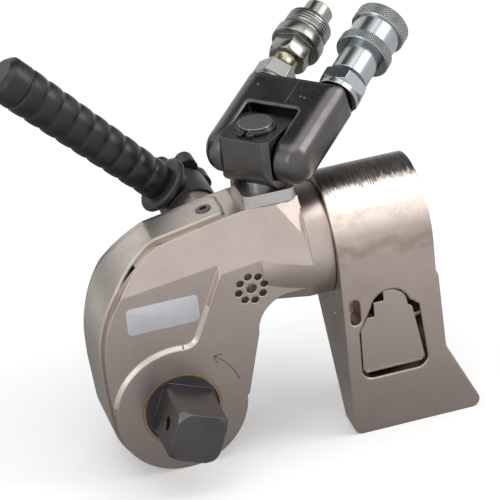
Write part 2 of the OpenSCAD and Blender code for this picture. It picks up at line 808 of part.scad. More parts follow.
// Frame of the post: X along the tilt axis, origin where it meets the swivel's axis
module in_post() {
    translate([swivel_x, mid_y, pivot_z]) rotate(-swivel_turn) children();
}

// Frame of the manifold: Z towards the ports
module in_manifold() {
    in_post() rotate([-swivel_tilt, 0, 0]) children();
}

module swivel_post() color(oxide) in_post() difference() {
    intersection() {
        bar(-post_w / 2, post_w / 2) {
            intersection() {
                circle(r = post_d / 2);
                translate([-post_d / 2, -post_d / 2]) square([post_d, post_d / 2 + 1]);
            }
            translate([-post_d / 2, 0]) square([post_d, post_h]);
        }
        translate([0, 0, -post_d]) linear_extrude(3 * post_d) rotate(45)
            square((post_w + post_d - 2 * post_edge) / sqrt(2), center = true);
    }
    translate([0, 0, -post_d]) cylinder(r = spigot_r + run_gap, h = 2 * post_d);
    for (s = [-1, 1]) translate([s * post_w / 2, 0, 0]) rotate([0, -90 * s, 0])
        translate([0, 0, -1]) cylinder(r = pivot_r + seat_gap, h = post_w / 2 - spigot_r);
}

module pivot_pins() color(satin) in_post() for (s = [-1, 1])
    translate([s * (spigot_r + 1.2), 0, 0]) rotate([0, 90 * s, 0])
        cylinder(r = pivot_r, h = fork_w / 2 + s * fork_offset - spigot_r - 4);

// Forked block with rounded long edges
module manifold() color(oxide) in_manifold() difference() {
    edge = 5;
    intersection() {
        translate([fork_offset, 0, -fork_t]) linear_extrude(fork_t + fork_reach) {
            square([fork_w, fork_t - 2 * fork_round], center = true);
            square([fork_w - 2 * fork_round, fork_t], center = true);
            for (sx = [-1, 1], sy = [-1, 1])
                translate([sx * (fork_w / 2 - fork_round), sy * (fork_t / 2 - fork_round)]) circle(r = fork_round);
        }
        bar(-fork_w, fork_w) {
            circle(r = fork_t / 2);
            translate([-fork_t / 2, 0]) square([fork_t, fork_reach - edge]);
            translate([-fork_t / 2 + edge, 0]) square([fork_t - 2 * edge, fork_reach]);
            for (s = [-1, 1]) translate([s * (fork_t / 2 - edge), fork_reach - edge]) circle(r = edge);
        }
    }
    translate([-post_w / 2 - free_gap, -fork_t, -fork_t])
        cube([post_w + 2 * free_gap, 2 * fork_t, fork_t + fork_slot]);
    for (s = [-1, 1]) {
        translate([s * post_w / 2, 0, 0]) rotate([0, 90 * s, 0])
            cylinder(r = pivot_r + run_gap, h = (fork_w - post_w) / 2 + s * fork_offset - 2);
        translate([port_x(s), 0, fork_reach - plug_len - 0.5]) cylinder(r = port_r + seat_gap, h = plug_len + 2);
    }
}

// Frame on a port's axis, at a distance h from the tilt axis
module at_port(side, h) {
    in_manifold() translate([port_x(side), 0, h]) children();
}

// Hexagon bar with its corners taken off at both ends
module hex_bar(flats, h) {
    flat_r = flats / 2 + 0.3;
    corner_r = hex_r(flats) + 0.5;
    fall = 0.6 * (corner_r - flat_r);
    intersection() {
        cylinder(r = hex_r(flats), h = h, $fn = 6);
        rotate_extrude() polygon([[0, 0], [flat_r, 0], [corner_r, fall], [corner_r, h - fall], [flat_r, h], [0, h]]);
    }
}

// Nipple with a sealing washer, a neck and a hexagon
module male_adapter() color(bronze) at_port(-1, fork_reach) {
    translate([0, 0, -plug_len]) cylinder(r = port_r, h = plug_len + 0.1);
    cylinder(r = male_hex / 2, h = 2);
    cylinder(r = port_r + 0.5, h = male_z - fork_reach);
    translate([0, 0, 6]) hex_bar(male_hex, 8);
}

module male_coupler() color(zinc) at_port(-1, male_z) difference() {
    union() {
        hex_bar(collar_r * 1.6, 11);
        rotate_extrude() polygon([[0, 0], [collar_r * 0.72, 0], [collar_r * 0.72, 10], [collar_r - 1, 10], [collar_r, 11],
            [collar_r, 17], [collar_r - 1, 18], [ring_r - 0.8, 18], [ring_r - 0.8, 19.5], [ring_r, 20.3], [ring_r, 27.2],
            [ring_r - 0.8, 28], [nose_tip_r, 28], [nose_tip_r, male_len - 1.2], [nose_tip_r - 1.2, male_len],
            [0, male_len]]);
    }
    translate([0, 0, male_len - 6]) cylinder(r = nose_tip_r - 2.6, h = 8);
}

module female_adapter() color(zinc) at_port(1, fork_reach) {
    translate([0, 0, -plug_len]) cylinder(r = port_r, h = plug_len + 0.1);
    cylinder(r = female_hex / 2, h = 3);
    translate([0, 0, 3]) hex_bar(female_hex, tube_z - fork_reach - 3);
}

module female_coupler() color(zinc) at_port(1, tube_z) difference() {
    rotate_extrude() polygon([[0, 0], [tube_r - 1.6, 0], [tube_r - 1.6, 2], [tube_r, 3], [tube_r, tube_len],
        [0, tube_len]]);
    translate([0, 0, tube_len - 16]) cylinder(r = nose_tip_r + 0.06, h = 17);
}

module coupler_sleeve() color(zinc) at_port(1, sleeve_z) difference() {
    rotate_extrude() polygon([[0, 0], [knurl_r - 0.8, 0], [knurl_r, 0.8], [knurl_r, 5.2], [knurl_r - 0.8, 6],
        [band_r, 6], [band_r, sleeve_len - 8], [knurl_r - 0.8, sleeve_len - 8], [knurl_r, sleeve_len - 7.2],
        [knurl_r, sleeve_len - 0.8], [knurl_r - 0.8, sleeve_len], [0, sleeve_len]]);
    translate([0, 0, -1]) cylinder(r = tube_r + run_gap, h = sleeve_len + 2);
}

// Side view of the arm: the ring and the foot that hangs from it
module arm_side() {
    heel = [arm_front + foot_t, floor_z];
    centre = [mid_y, cyl_z];
    back = centre + touch(heel - centre, arm_r - 0.05, 1);
    translate(centre) circle(r = arm_r);
    polygon([centre, [arm_front, cyl_z], [arm_front, floor_z], heel, back]);
}

// Front view of the arm, with its flared foot
module arm_front_view() {
    toe_centre = [foot_reach - foot_round, floor_z + foot_round];
    heel_centre = [arm_x + foot_round, floor_z + foot_round];
    flare = [arm_end + 2.2, flare_z];
    polygon([[arm_x, heel_centre[1]], [heel_centre[0], floor_z], [toe_centre[0], floor_z],
        toe_centre + touch(flare - toe_centre, foot_round, -1), flare,
        [arm_end + 1.2, lock_z + 24.5], [arm_end, lock_z + 28],
        [arm_end, cyl_z + arm_r + 1], [arm_x, cyl_z + arm_r + 1]]);
    translate(toe_centre) circle(r = foot_round);
    translate(heel_centre) circle(r = foot_round);
}

// Front view of the window, drawn in by g all round and by more on the right
module window_outline(g = 0, more = 0) {
    left = window_x + g;
    right = window_x + window_w - g;
    low = window_z + g;
    corner = window_round - g;
    top = window_z + 39.6 - g;
    polygon([[left, low + corner], [left + corner, low], [right - corner, low], [right, low + corner],
        [right - 2.3 - more, top - 3.5], [right - 6.5 - more, top], [left + 7, top], [left + 0.4, window_z + 27]]);
    translate([left + corner, low + corner]) circle(r = corner);
    translate([right - corner, low + corner]) circle(r = corner);
    translate([window_x + 17.5, window_z + 37.6]) circle(r = 10.5 - g);
}

module reaction_arm() color(plated) difference() {
    intersection() {
        bar(arm_x, foot_reach) arm_side();
        slab(arm_front - 1, mid_y + arm_r + 1) arm_front_view();
    }
    bar(arm_x - 1, arm_end + 4) translate([mid_y, cyl_z])
        spline_outline(spline_r + 0.1, spline_depth, spline_n);
    slab(arm_front - 1, window_back) window_outline();
    slab(arm_front - 1, arm_front + 12) {
        for (z = [lock_z + 9.5, lock_z + 18.5]) translate([arm_x + 6, z]) circle(r = 2.7);
        translate([arm_x + 3.3, lock_z + 9.5]) square([5.4, 9]);
    }
    translate([hook_x - 0.6, lock_y - 6, lock_z + 14]) cube([8.4, 18, 14]);
    translate([arm_x - 1, arm_front + 16, lock_z + 7.4]) rotate([0, 90, 0]) cylinder(r = 1.6, h = 7);
    translate([window_x - 2.5, lock_y, lock_z]) rotate([0, 90, 0])
        cylinder(r = lock_pin_r + seat_gap, h = lock_pin_len);
}

// Plate in the window, with a hub on the pin and a hook that drops into the lock groove
module lock_lever() color(plated) difference() {
    union() {
        slab(latch_face, latch_back) difference() {
            window_outline(latch_gap, 2.2);
            translate([window_x - 1, window_z - 1]) square([window_w + 2, 5.2]);
            translate([window_x - 1, lock_z + 16.4]) square([hook_x - window_x + 1, 20]);
            translate([window_x - 1, lock_z + 8.6]) square([10.4, 20]);
        }
        bar(lock_x, lock_x + lock_w) {
            translate([lock_y, lock_z]) circle(r = lock_pin_r + 2.2);
            translate([latch_back - 1, lock_z - lock_pin_r - 2]) square([lock_y - latch_back + 1, 2 * lock_pin_r + 4]);
        }
        bar(hook_x, hook_x + 7.2)
            polygon([[latch_back - 1, lock_z + 14], [lock_y + 1, lock_z + 14.5], [lock_y + 10.2, lock_z + 21.6],
                [lock_y + 8.8, lock_z + 22.5], [latch_back - 1, lock_z + 21.5]]);
    }
    translate([lock_x - 1, lock_y, lock_z]) rotate([0, 90, 0]) cylinder(r = lock_pin_r + run_gap, h = lock_w + 2);
}

module lock_pin() color(bright)
    translate([window_x - 2.5 + seat_gap, lock_y, lock_z]) rotate([0, 90, 0])
        cylinder(r = lock_pin_r, h = lock_pin_len - 2 * seat_gap);

// Coils of the return spring, wound on the pin beside the lever
module lock_spring() color(bright)
    translate([lock_x + lock_w + 1.4, lock_y, lock_z]) rotate([0, 90, 0]) for (i = [0:3])
        translate([0, 0, 1.5 * i]) rotate_extrude() translate([lock_pin_r + 1, 0]) circle(r = 0.8, $fn = 20);

// Frame of the handle: X along the grip, origin on the stud
module in_handle() {
    translate([handle_x, grip_y, handle_z]) rotate([0, -handle_angle, 0]) children();
}

module handle_hub() color(black) difference() {
    union() {
        rod_y(handle_x, handle_z, handle_hub_r, boss_end + free_gap, hub_back);
        in_handle() rotate([0, 90, 0]) {
            cylinder(r = guard_r - 4.5, h = guard_x + 1);
            translate([0, 0, guard_x]) rotate_extrude() polygon(concat([[0, 0]],
                [for (a = [-90:30:90]) [guard_r - 2.25 + 2.25 * cos(a), 2.25 + 2.25 * sin(a)]], [[0, 4.5]]));
            cylinder(r = grip_r0 - 5, h = grip_end - 12);
        }
    }
    rod_y(handle_x, handle_z, stud_r + run_gap, boss_end, hub_back + 1);
}

// Soft grip with ribs that grow towards its end
module handle_grip() color(black) in_handle() rotate([0, 90, 0]) difference() {
    start = guard_x + 4.5 + seat_gap;
    rib = (grip_end - 14 - start) / grip_ribs;
    rise = (grip_r1 - grip_r0) / grip_ribs;
    rotate_extrude() polygon(concat([[0, start]],
        [for (i = [0:grip_ribs - 1], k = [0:4])
            [grip_r0 + rise * i - 1.2 * (k / 2 - 1) ^ 2, start + rib * (i + k / 4)]],
        [[grip_r1, grip_end - 13], [grip_r1, grip_end - 3], [grip_r1 - 3, grip_end], [0, grip_end]]));
    translate([0, 0, start - 1]) cylinder(r = grip_r0 - 5 + seat_gap, h = grip_end - 12 - start + 1 + seat_gap);
}

module handle_stud() color(bright)
    rod_y(handle_x, handle_z, stud_r, mid_y + cavity_w / 2 + 3.2, stud_end + 1);

module clamp_knob() color(black) difference() {
    lobe_r = 5;
    union() {
        rod_y(handle_x, handle_z, handle_hub_r - 4, hub_back + free_gap, knob_y + 1);
        slab(knob_y, stud_end) translate([handle_x, handle_z]) {
            circle(r = knob_r - lobe_r + 1);
            for (i = [0:knob_lobes - 1]) rotate(360 * i / knob_lobes) translate([knob_r - lobe_r, 0]) circle(r = lobe_r);
        }
    }
    rod_y(handle_x, handle_z, stud_r + run_gap, hub_back, stud_end + 1);
}

body();
shroud();
shroud_screws();
front_bush();
rear_bush();
rod_seal();
end_cap();
end_seal();
swivel_base();
spigot();
circlip();
square_drive();
ratchet();
drive_retainer();
release_button();
lever_plates();
crank_pin();
pawl_pin();
spring_pin();
pawl_spring();
drive_pawl();
piston();
piston_seal();
piston_rod();
swivel_post();
pivot_pins();
manifold();
male_adapter();
male_coupler();
female_adapter();
female_coupler();
coupler_sleeve();
reaction_arm();
lock_lever();
lock_pin();
lock_spring();
handle_hub();
handle_grip();
handle_stud();
clamp_knob();
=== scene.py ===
"""Dresses the hydraulic torque wrench: finishes, small parts, studio and camera."""

from __future__ import annotations

import itertools
import json
import logging
import math
from collections.abc import Callable, Iterator, Sequence
from contextlib import contextmanager
from dataclasses import dataclass, field
from enum import Enum
from typing import Any

import bpy
from mathutils import Matrix, Vector

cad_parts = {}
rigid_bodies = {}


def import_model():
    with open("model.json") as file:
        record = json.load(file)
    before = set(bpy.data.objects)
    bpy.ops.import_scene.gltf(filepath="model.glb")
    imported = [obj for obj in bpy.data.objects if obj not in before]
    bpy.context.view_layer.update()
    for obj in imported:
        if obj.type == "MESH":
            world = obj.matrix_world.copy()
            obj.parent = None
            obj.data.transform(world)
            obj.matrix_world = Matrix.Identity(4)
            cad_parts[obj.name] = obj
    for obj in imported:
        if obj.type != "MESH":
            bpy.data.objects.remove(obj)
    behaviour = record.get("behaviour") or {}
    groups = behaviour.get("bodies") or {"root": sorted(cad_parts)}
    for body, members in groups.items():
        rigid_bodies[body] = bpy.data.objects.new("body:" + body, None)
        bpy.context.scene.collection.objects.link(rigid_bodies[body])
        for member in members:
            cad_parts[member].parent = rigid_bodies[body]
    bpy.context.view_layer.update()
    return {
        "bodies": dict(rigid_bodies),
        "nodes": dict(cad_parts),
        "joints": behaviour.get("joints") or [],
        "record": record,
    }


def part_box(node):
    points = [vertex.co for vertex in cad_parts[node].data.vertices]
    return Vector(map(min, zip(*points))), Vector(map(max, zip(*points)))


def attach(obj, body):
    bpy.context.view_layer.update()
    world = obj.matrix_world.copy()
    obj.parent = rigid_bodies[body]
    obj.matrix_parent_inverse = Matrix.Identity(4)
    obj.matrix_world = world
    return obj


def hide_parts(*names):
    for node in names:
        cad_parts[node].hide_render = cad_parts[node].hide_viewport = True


LOG = logging.getLogger("wrench")
MM = 0.001
RIGHT_ANGLE = math.radians(90)
SMOOTH_ANGLE = math.radians(35)
WELD = 0.002
CORNER_STEPS = 6
SOFT_STEPS = 2
HEX_SIDES = 6
Colour = tuple[float, float, float]
Point = tuple[float, float, float]
Range = tuple[float, float]
Profile = Sequence[tuple[float, float]]
Slice = tuple[Vector, Vector]


def linear(colour: Colour) -> tuple[float, float, float, float]:
    """Turn a display colour into the linear one that Blender's sockets take.

    Args:
        colour: red, green and blue from 0 to 255.

    Returns:
        Linear red, green, blue and an alpha of 1.
    """
    parts = [c / 255 for c in colour]
    light = [c / 12.92 if c <= 0.04045 else ((c + 0.055) / 1.055) ** 2.4 for c in parts]
    return (light[0], light[1], light[2], 1.0)


@dataclass(frozen=True)
class Spots:
    """A noise: width of its spots in millimetres, number of finer layers and their weight."""

    size: float
    layers: float
    weight: float


class Shade:
    """A socket of a finish, with arithmetic that adds Math nodes."""

    def __init__(self, maker: NodeMaker, socket: bpy.types.NodeSocket) -> None:
        """Hold a socket and the maker of its tree."""
        self.maker = maker
        self.socket = socket

    def math(self, operation: str, *values: Shade | float) -> Shade:
        """Add a Math node on this value and on further ones."""
        inputs = dict(enumerate((self, *values)))
        return self.maker.node("ShaderNodeMath", {"operation": operation}, inputs)

    def __add__(self, other: Shade | float) -> Shade:
        """Add a value."""
        return self.math("ADD", other)

    __radd__ = __add__

    def __mul__(self, other: Shade | float) -> Shade:
        """Multiply by a value."""
        return self.math("MULTIPLY", other)

    def __sub__(self, other: Shade | float) -> Shade:
        """Take a value away."""
        return self.math("SUBTRACT", other)

    def __rsub__(self, other: float) -> Shade:
        """Take this value away from a number."""
        return self.math("MULTIPLY", -1.0) + other

    def clamp(self) -> Shade:
        """Keep the value between 0 and 1."""
        return self.math("MAXIMUM", 0.0).math("MINIMUM", 1.0)

    def reach(self, other: Shade) -> Shade:
        """Find the length of this value and another at right angles to it."""
        return (self * self + other * other).math("SQRT")

    def swing(self, width: float) -> Shade:
        """Turn a value from 0 to 1 into a swing of a given width about 0."""
        return (self - 0.5) * width

    def zigzag(self) -> Shade:
        """Go from 0 up to 1 and back as the value grows by 1."""
        return self.math("PINGPONG", 0.5) * 2

    def between(self, low: float, high: float) -> Shade:
        """Rise smoothly from 0 at low to 1 at high."""
        inputs = {"Value": self, "From Min": low, "From Max": high}
        return self.maker.node("ShaderNodeMapRange", {"interpolation_type": "SMOOTHSTEP"}, inputs)


class NodeMaker:
    """Adds nodes to one node tree."""

    def __init__(self, tree: bpy.types.NodeTree) -> None:
        """Start on an empty tree."""
        self.tree = tree
        tree.nodes.clear()

    def node(
        self,
        kind: str,
        settings: dict[str, Any] | None = None,
        inputs: dict[str | int, Any] | None = None,
        output: str | int = 0,
    ) -> Shade:
        """Add one node.

        Args:
            kind: the node's type.
            settings: its properties.
            inputs: values or links of its sockets.
            output: the socket to return.

        Returns:
            The chosen output.
        """
        made = self.tree.nodes.new(kind)
        for key, value in (settings or {}).items():
            setattr(made, key, value)
        for key, value in (inputs or {}).items():
            if isinstance(value, Shade):
                self.tree.links.new(value.socket, made.inputs[key])
            else:
                made.inputs[key].default_value = value
        return Shade(self, made.outputs[output])

    def source(self, kind: str, output: str) -> Shade:
        """Add a node of a given type without inputs, and take one of its outputs."""
        return self.node(kind, output=output)

    def glow(self, strength: float) -> Shade:
        """Add a white emission of a given strength."""
        return self.node("ShaderNodeEmission", inputs={"Strength": strength})

    def blend(self, factor: Shade, first: Shade, second: Shade) -> Shade:
        """Mix two shaders, with the second alone at a factor of 1."""
        return self.node("ShaderNodeMixShader", inputs={0: factor, 1: first, 2: second})

    def finish(self, surface: Shade, kind: str = "ShaderNodeOutputMaterial") -> None:
        """Link a shader to the tree's output, a node of a given type."""
        out = self.tree.nodes.new(kind)
        self.tree.links.new(surface.socket, out.inputs["Surface"])

    def split(self, place: Shade) -> list[Shade]:
        """Take coordinates apart into their three parts."""
        node = self.node("ShaderNodeSeparateXYZ", inputs={0: place}).socket.node
        return [Shade(self, socket) for socket in node.outputs]

    def mix(self, factor: Shade, first: Any, second: Any) -> Shade:
        """Mix two colours or links, with the second alone at a factor of 1."""
        return self.node("ShaderNodeMix", {"data_type": "RGBA"}, {0: factor, 6: first, 7: second}, 2)

    def noise(self, place: Shade, spots: Spots) -> Shade:
        """Add a noise.

        Args:
            place: coordinates in metres.
            spots: its spots.

        Returns:
            The noise from 0 to 1.
        """
        scale = 1 / (spots.size * MM)
        inputs = {"Vector": place, "Scale": scale, "Detail": spots.layers, "Roughness": spots.weight}
        return self.node("ShaderNodeTexNoise", inputs=inputs)

    def stretch(self, place: Shade, scale: Point) -> Shade:
        """Scale coordinates by a factor along each axis."""
        return self.node("ShaderNodeVectorMath", {"operation": "MULTIPLY"}, {0: place, 1: scale})


def new_material(name: str) -> tuple[bpy.types.Material, NodeMaker]:
    """Start a material.

    Args:
        name: its name.

    Returns:
        The material and the maker of its nodes.
    """
    material = bpy.data.materials.new(name)
    material.use_nodes = True
    return material, NodeMaker(material.node_tree)


@dataclass(frozen=True)
class Axis:
    """A line in the model that a pattern follows, in millimetres."""

    point: Point = (0.0, 0.0, 0.0)
    direction: Point = (0.0, 0.0, 1.0)

    def local(self, nodes: NodeMaker, place: Shade) -> Shade:
        """Turn coordinates so that their third one runs along the line.

        Args:
            nodes: maker of the tree.
            place: coordinates in the model.

        Returns:
            Coordinates about the line.
        """
        turn = Vector(self.direction).to_track_quat("Z", "Y").to_euler()
        inputs = {"Vector": place, "Location": tuple(p * MM for p in self.point), "Rotation": tuple(turn)}
        return nodes.node("ShaderNodeMapping", {"vector_type": "TEXTURE"}, inputs)


class Grain(Enum):
    """How a surface was worked, with its noise's finer layers and their weight."""

    BLASTED = (4.0, 0.65)
    BRUSHED = (4.0, 0.7)
    TURNED = (2.0, 0.6)
    MOULDED = (1.0, 0.5)


BRUSH_STRETCH = (1.0, 1.0, 0.03)
MOULD_COARSE = (2.0, 0.4)
CLOUDS = Spots(22.0, 4.0, 0.6)
CLOUD_RANGE = (0.35, 0.7)
SCUFFS = Spots(1.5, 3.0, 0.6)
SCUFF_RANGE = (0.3, 0.75)
SCUFF_SHARE = 0.6
SPECKS = Spots(0.6, 2.0, 0.5)
EDGE_RANGE = (0.01, 0.12)
EDGE_SAMPLES = 6
EDGE_POLISH = 0.1


@dataclass(frozen=True)
class Finish:
    """A worked surface, drawn on Object coordinates, with pitch, relief and edge in millimetres; its edges
    take a worn colour that is part real wear and part painted highlight.
    """

    name: str
    colour: Colour
    second: Colour
    # Edge colour: real wear, and in part a painted highlight along the edges.
    wear_and_highlight: Colour
    metallic: float = 1.0
    roughness: float = 0.4
    spread: float = 0.1
    grain: Grain = Grain.BLASTED
    pitch: float = 0.3
    relief: float = 0.01
    edge: float = 0.5
    wear: float = 0.5
    axis: Axis = Axis()

    def height(self, nodes: NodeMaker, place: Shade) -> Shade:
        """Draw the marks of working.

        Args:
            nodes: maker of the tree.
            place: Object coordinates.

        Returns:
            Height of the marks.
        """
        if self.grain is Grain.BRUSHED:
            place = nodes.stretch(self.axis.local(nodes, place), BRUSH_STRETCH)
        elif self.grain is Grain.TURNED:
            across, aside, rise = nodes.split(self.axis.local(nodes, place))
            place = nodes.node("ShaderNodeCombineXYZ", inputs={0: across.reach(aside), 1: rise})
        marks = nodes.noise(place, Spots(self.pitch, *self.grain.value))
        if self.grain is Grain.MOULDED:
            return marks + nodes.noise(place, Spots(self.pitch * 2, *MOULD_COARSE))
        return marks

    def paint(self, nodes: NodeMaker, place: Shade, tone: Shade) -> Shade:
        """Mix both colours away from the edges, by the weight of the second one."""
        return nodes.mix(tone, linear(self.colour), linear(self.second))

    def make(self) -> bpy.types.Material:
        """Make the material.

        Returns:
            The material.
        """
        material, nodes = new_material(self.name)
        place = nodes.source("ShaderNodeTexCoord", "Object")
        soft = nodes.node("ShaderNodeBevel", {"samples": EDGE_SAMPLES}, {"Radius": self.edge * MM})
        sharp = nodes.source("ShaderNodeNewGeometry", "Normal")
        dot = {"operation": "DOT_PRODUCT"}
        turn = nodes.node("ShaderNodeVectorMath", dot, {0: soft, 1: sharp}, "Value")
        scuff = nodes.noise(place, SCUFFS).between(*SCUFF_RANGE) * SCUFF_SHARE + (1 - SCUFF_SHARE)
        # Edges take the worn colour: part real wear, part a painted highlight along them.
        edge = ((1 - turn).between(*EDGE_RANGE) * scuff * self.wear).clamp()
        tone = nodes.noise(place, CLOUDS).between(*CLOUD_RANGE)
        colour = nodes.mix(edge, self.paint(nodes, place, tone), linear(self.wear_and_highlight))
        uneven = tone.swing(self.spread) + nodes.noise(place, SPECKS).swing(self.spread)
        rough = (uneven + self.roughness - edge * EDGE_POLISH).clamp()
        height = self.height(nodes, place)
        inputs = {"Strength": 1.0, "Distance": self.relief * MM, "Height": height, "Normal": soft}
        bump = nodes.node("ShaderNodeBump", inputs=inputs)
        inputs = {"Base Color": colour, "Metallic": self.metallic, "Roughness": rough, "Normal": bump}
        nodes.finish(nodes.node("ShaderNodeBsdfPrincipled", inputs=inputs))
        return material


DRIVE_AXIS = Axis(direction=(0.0, 1.0, 0.0))
CYLINDER_AXIS = Axis((0.0, 24.0, 65.5), (1.0, 0.0, 0.0))
SPIGOT_AXIS = Axis((58.5, 24.0, 0.0))


@dataclass(frozen=True)
class ArmFinish(Finish):
    """Plated arm whose ring is brushed round, with painted shade on top for a dark reflection, a painted
    highlight band below it, and stained in front.

    Zones on the ring are angles in radians, from its front towards its top.
    """

    # Painted shade on top of the ring: a dark reflection painted in, ragged at its edge by the strokes.
    painted_shade: Colour = (66, 60, 57)
    painted_shade_from: Range = (1.13, 1.23)
    painted_shade_to: Range = (2.3, 2.6)
    strokes: Spots = Spots(0.55, 3.0, 0.7)
    stroke_pace: float = 0.0018
    stroke_zone: Range = (0.1, 0.6)
    stroke_relief: float = 4.0
    stroke_swing: float = 0.7
    stroke_weight: float = 0.8
    stroke_least: float = 0.45
    drift: Spots = Spots(9.0, 3.0, 0.6)
    drift_swing: float = 0.3
    # Painted highlight: a near-white band painted round the ring where a lamp's reflection lies.
    ground: Colour = (246, 234, 223)
    painted_highlight_zone: Range = (0.3, 0.62)
    painted_highlight_weight: float = 0.9
    stain: Colour = (150, 130, 120)
    stain_at: float = 0.14
    stain_width: float = 0.2
    stain_weight: float = 0.6
    wave: Spots = Spots(14.0, 2.0, 0.5)
    wave_swing: float = 0.5
    blotches: Spots = Spots(5.0, 4.0, 0.7)
    blotch_range: Range = (0.4, 0.75)
    blotch_zone: Range = (0.3, 0.6)
    blotch_weight: float = 0.35

    def round_ring(self, nodes: NodeMaker, place: Shade) -> tuple[Shade, Shade]:
        """Find the place on the ring.

        Args:
            nodes: maker of the tree.
            place: Object coordinates.

        Returns:
            Angle on the ring, and the strokes that run round it.
        """
        along, aside, rise = nodes.split(place)
        centre = CYLINDER_AXIS.point
        angle = (rise - centre[2] * MM).math("ARCTAN2", centre[1] * MM - aside)
        flat = nodes.node("ShaderNodeCombineXYZ", inputs={0: along, 1: angle * self.stroke_pace})
        return angle, nodes.noise(flat, self.strokes)

    def height(self, nodes: NodeMaker, place: Shade) -> Shade:
        """Add strokes round the ring to the blasted grain."""
        angle, marks = self.round_ring(nodes, place)
        return super().height(nodes, place) + marks * angle.between(*self.stroke_zone) * self.stroke_relief

    def paint(self, nodes: NodeMaker, place: Shade, tone: Shade) -> Shade:
        """Add the painted highlight band, the stain where the ring meets the front, and the painted shade
        on top, a dark reflection with ragged strokes.

        Args:
            nodes: maker of the tree.
            place: Object coordinates.
            tone: weight of the second colour.

        Returns:
            The colour.
        """
        angle, strokes = self.round_ring(nodes, place)
        # Painted highlight band round the ring.
        ground = angle.between(*self.painted_highlight_zone) * self.painted_highlight_weight
        colour = nodes.mix(ground, super().paint(nodes, place, tone), linear(self.ground))
        wave = angle + nodes.noise(place, self.wave).swing(self.wave_swing)
        low, high = self.stain_at - self.stain_width, self.stain_at + self.stain_width
        band = wave.between(low, self.stain_at) * (1 - wave.between(self.stain_at, high))
        blotch = nodes.noise(place, self.blotches).between(*self.blotch_range)
        blotch = blotch * angle.between(*self.blotch_zone)
        stain = (band * self.stain_weight + blotch * self.blotch_weight).clamp()
        colour = nodes.mix(stain, colour, linear(self.stain))
        # Painted shade on top of the ring: a dark reflection, ragged by the strokes.
        drift = nodes.noise(place, self.drift).swing(self.drift_swing)
        ragged = angle + strokes.swing(self.stroke_swing) + drift
        top = ragged.between(*self.painted_shade_from) * (1 - angle.between(*self.painted_shade_to))
        painted_shade = top * (strokes * self.stroke_weight + self.stroke_least).clamp()
        return nodes.mix(painted_shade, colour, linear(self.painted_shade))


class Cut(Enum):
    """What is cut into a turned piece."""

    KNURL = "knurl"
    THREAD = "thread"


@dataclass(frozen=True)
class CutFinish(Finish):
    """Turned piece with knurled or threaded zones along its axis, with painted shade in their grooves, in
    millimetres.
    """

    zones: tuple[tuple[float, float, Cut], ...] = ()
    # Painted shade: colour painted into the knurl and thread grooves.
    groove_shade: Colour = (112, 109, 106)
    groove_shade_range: Range = (0.1, 0.6)
    groove_shade_weight: float = 0.85
    lobes: int = 58
    lead: float = 1.5
    run_out: float = 0.3
    turned_share: float = 0.03

    def cuts(self, nodes: NodeMaker, place: Shade) -> tuple[Shade, Shade]:
        """Find the cut zones.

        Args:
            nodes: maker of the tree.
            place: Object coordinates.

        Returns:
            Height in the zones, from 0 to 1, and where the zones are.
        """
        across, aside, rise = nodes.split(self.axis.local(nodes, place))
        rise = rise * (1 / MM)
        turns = aside.math("ARCTAN2", across) * (self.lobes / math.tau)
        step = rise * (1 / self.lead)
        knurl = (turns + step).zigzag().math("MINIMUM", (turns - step).zigzag())
        reliefs = {Cut.KNURL: knurl, Cut.THREAD: step.zigzag()}
        heights, places = [], []
        for low, high, cut in self.zones:
            starts = rise.between(low, low + self.run_out)
            inside = starts * (1 - rise.between(high - self.run_out, high))
            heights.append(inside * reliefs[cut])
            places.append(inside)
        return sum(heights), sum(places)

    def height(self, nodes: NodeMaker, place: Shade) -> Shade:
        """Add the zones to the turned grain."""
        return self.cuts(nodes, place)[0] + super().height(nodes, place) * self.turned_share

    def paint(self, nodes: NodeMaker, place: Shade, tone: Shade) -> Shade:
        """Paint shade into the grooves of the zones.

        Args:
            nodes: maker of the tree.
            place: Object coordinates.
            tone: weight of the second colour.

        Returns:
            The colour.
        """
        total, where = self.cuts(nodes, place)
        # Painted shade in the grooves of the zones.
        painted_groove_shade = (1 - total.between(*self.groove_shade_range)) * where * self.groove_shade_weight
        return nodes.mix(painted_groove_shade, super().paint(nodes, place, tone), linear(self.groove_shade))


FORK_MIDDLE = 1.75
PORT_REACH = 19.0
PORT_END = 44.5
MALE_AXIS_X = FORK_MIDDLE - PORT_REACH
FEMALE_AXIS_X = FORK_MIDDLE + PORT_REACH
GRIP_FOOT = (29.3, 66.0, 77.7)
GRIP_LEAN = -43.0
GRIP_FRAME = Matrix.Translation(GRIP_FOOT) @ Matrix.Rotation(math.radians(GRIP_LEAN), 4, "Y")
SWIVEL_PIVOT = (58.5, 24.0, 117.5)
SWIVEL_TURN = -47.0
SWIVEL_TILT = -72.0
SWIVEL_FRAME = (
    Matrix.Translation(SWIVEL_PIVOT)
    @ Matrix.Rotation(math.radians(SWIVEL_TURN), 4, "Z")
    @ Matrix.Rotation(math.radians(SWIVEL_TILT), 4, "X")
)


def port_axis(offset: float) -> Axis:
    """Find the axis of the port at an offset along the tilt axis."""
    point = SWIVEL_FRAME @ Vector((offset, 0, 0))
    return Axis(tuple(point), tuple(SWIVEL_FRAME.to_3x3() @ Vector((0, 0, 1))))


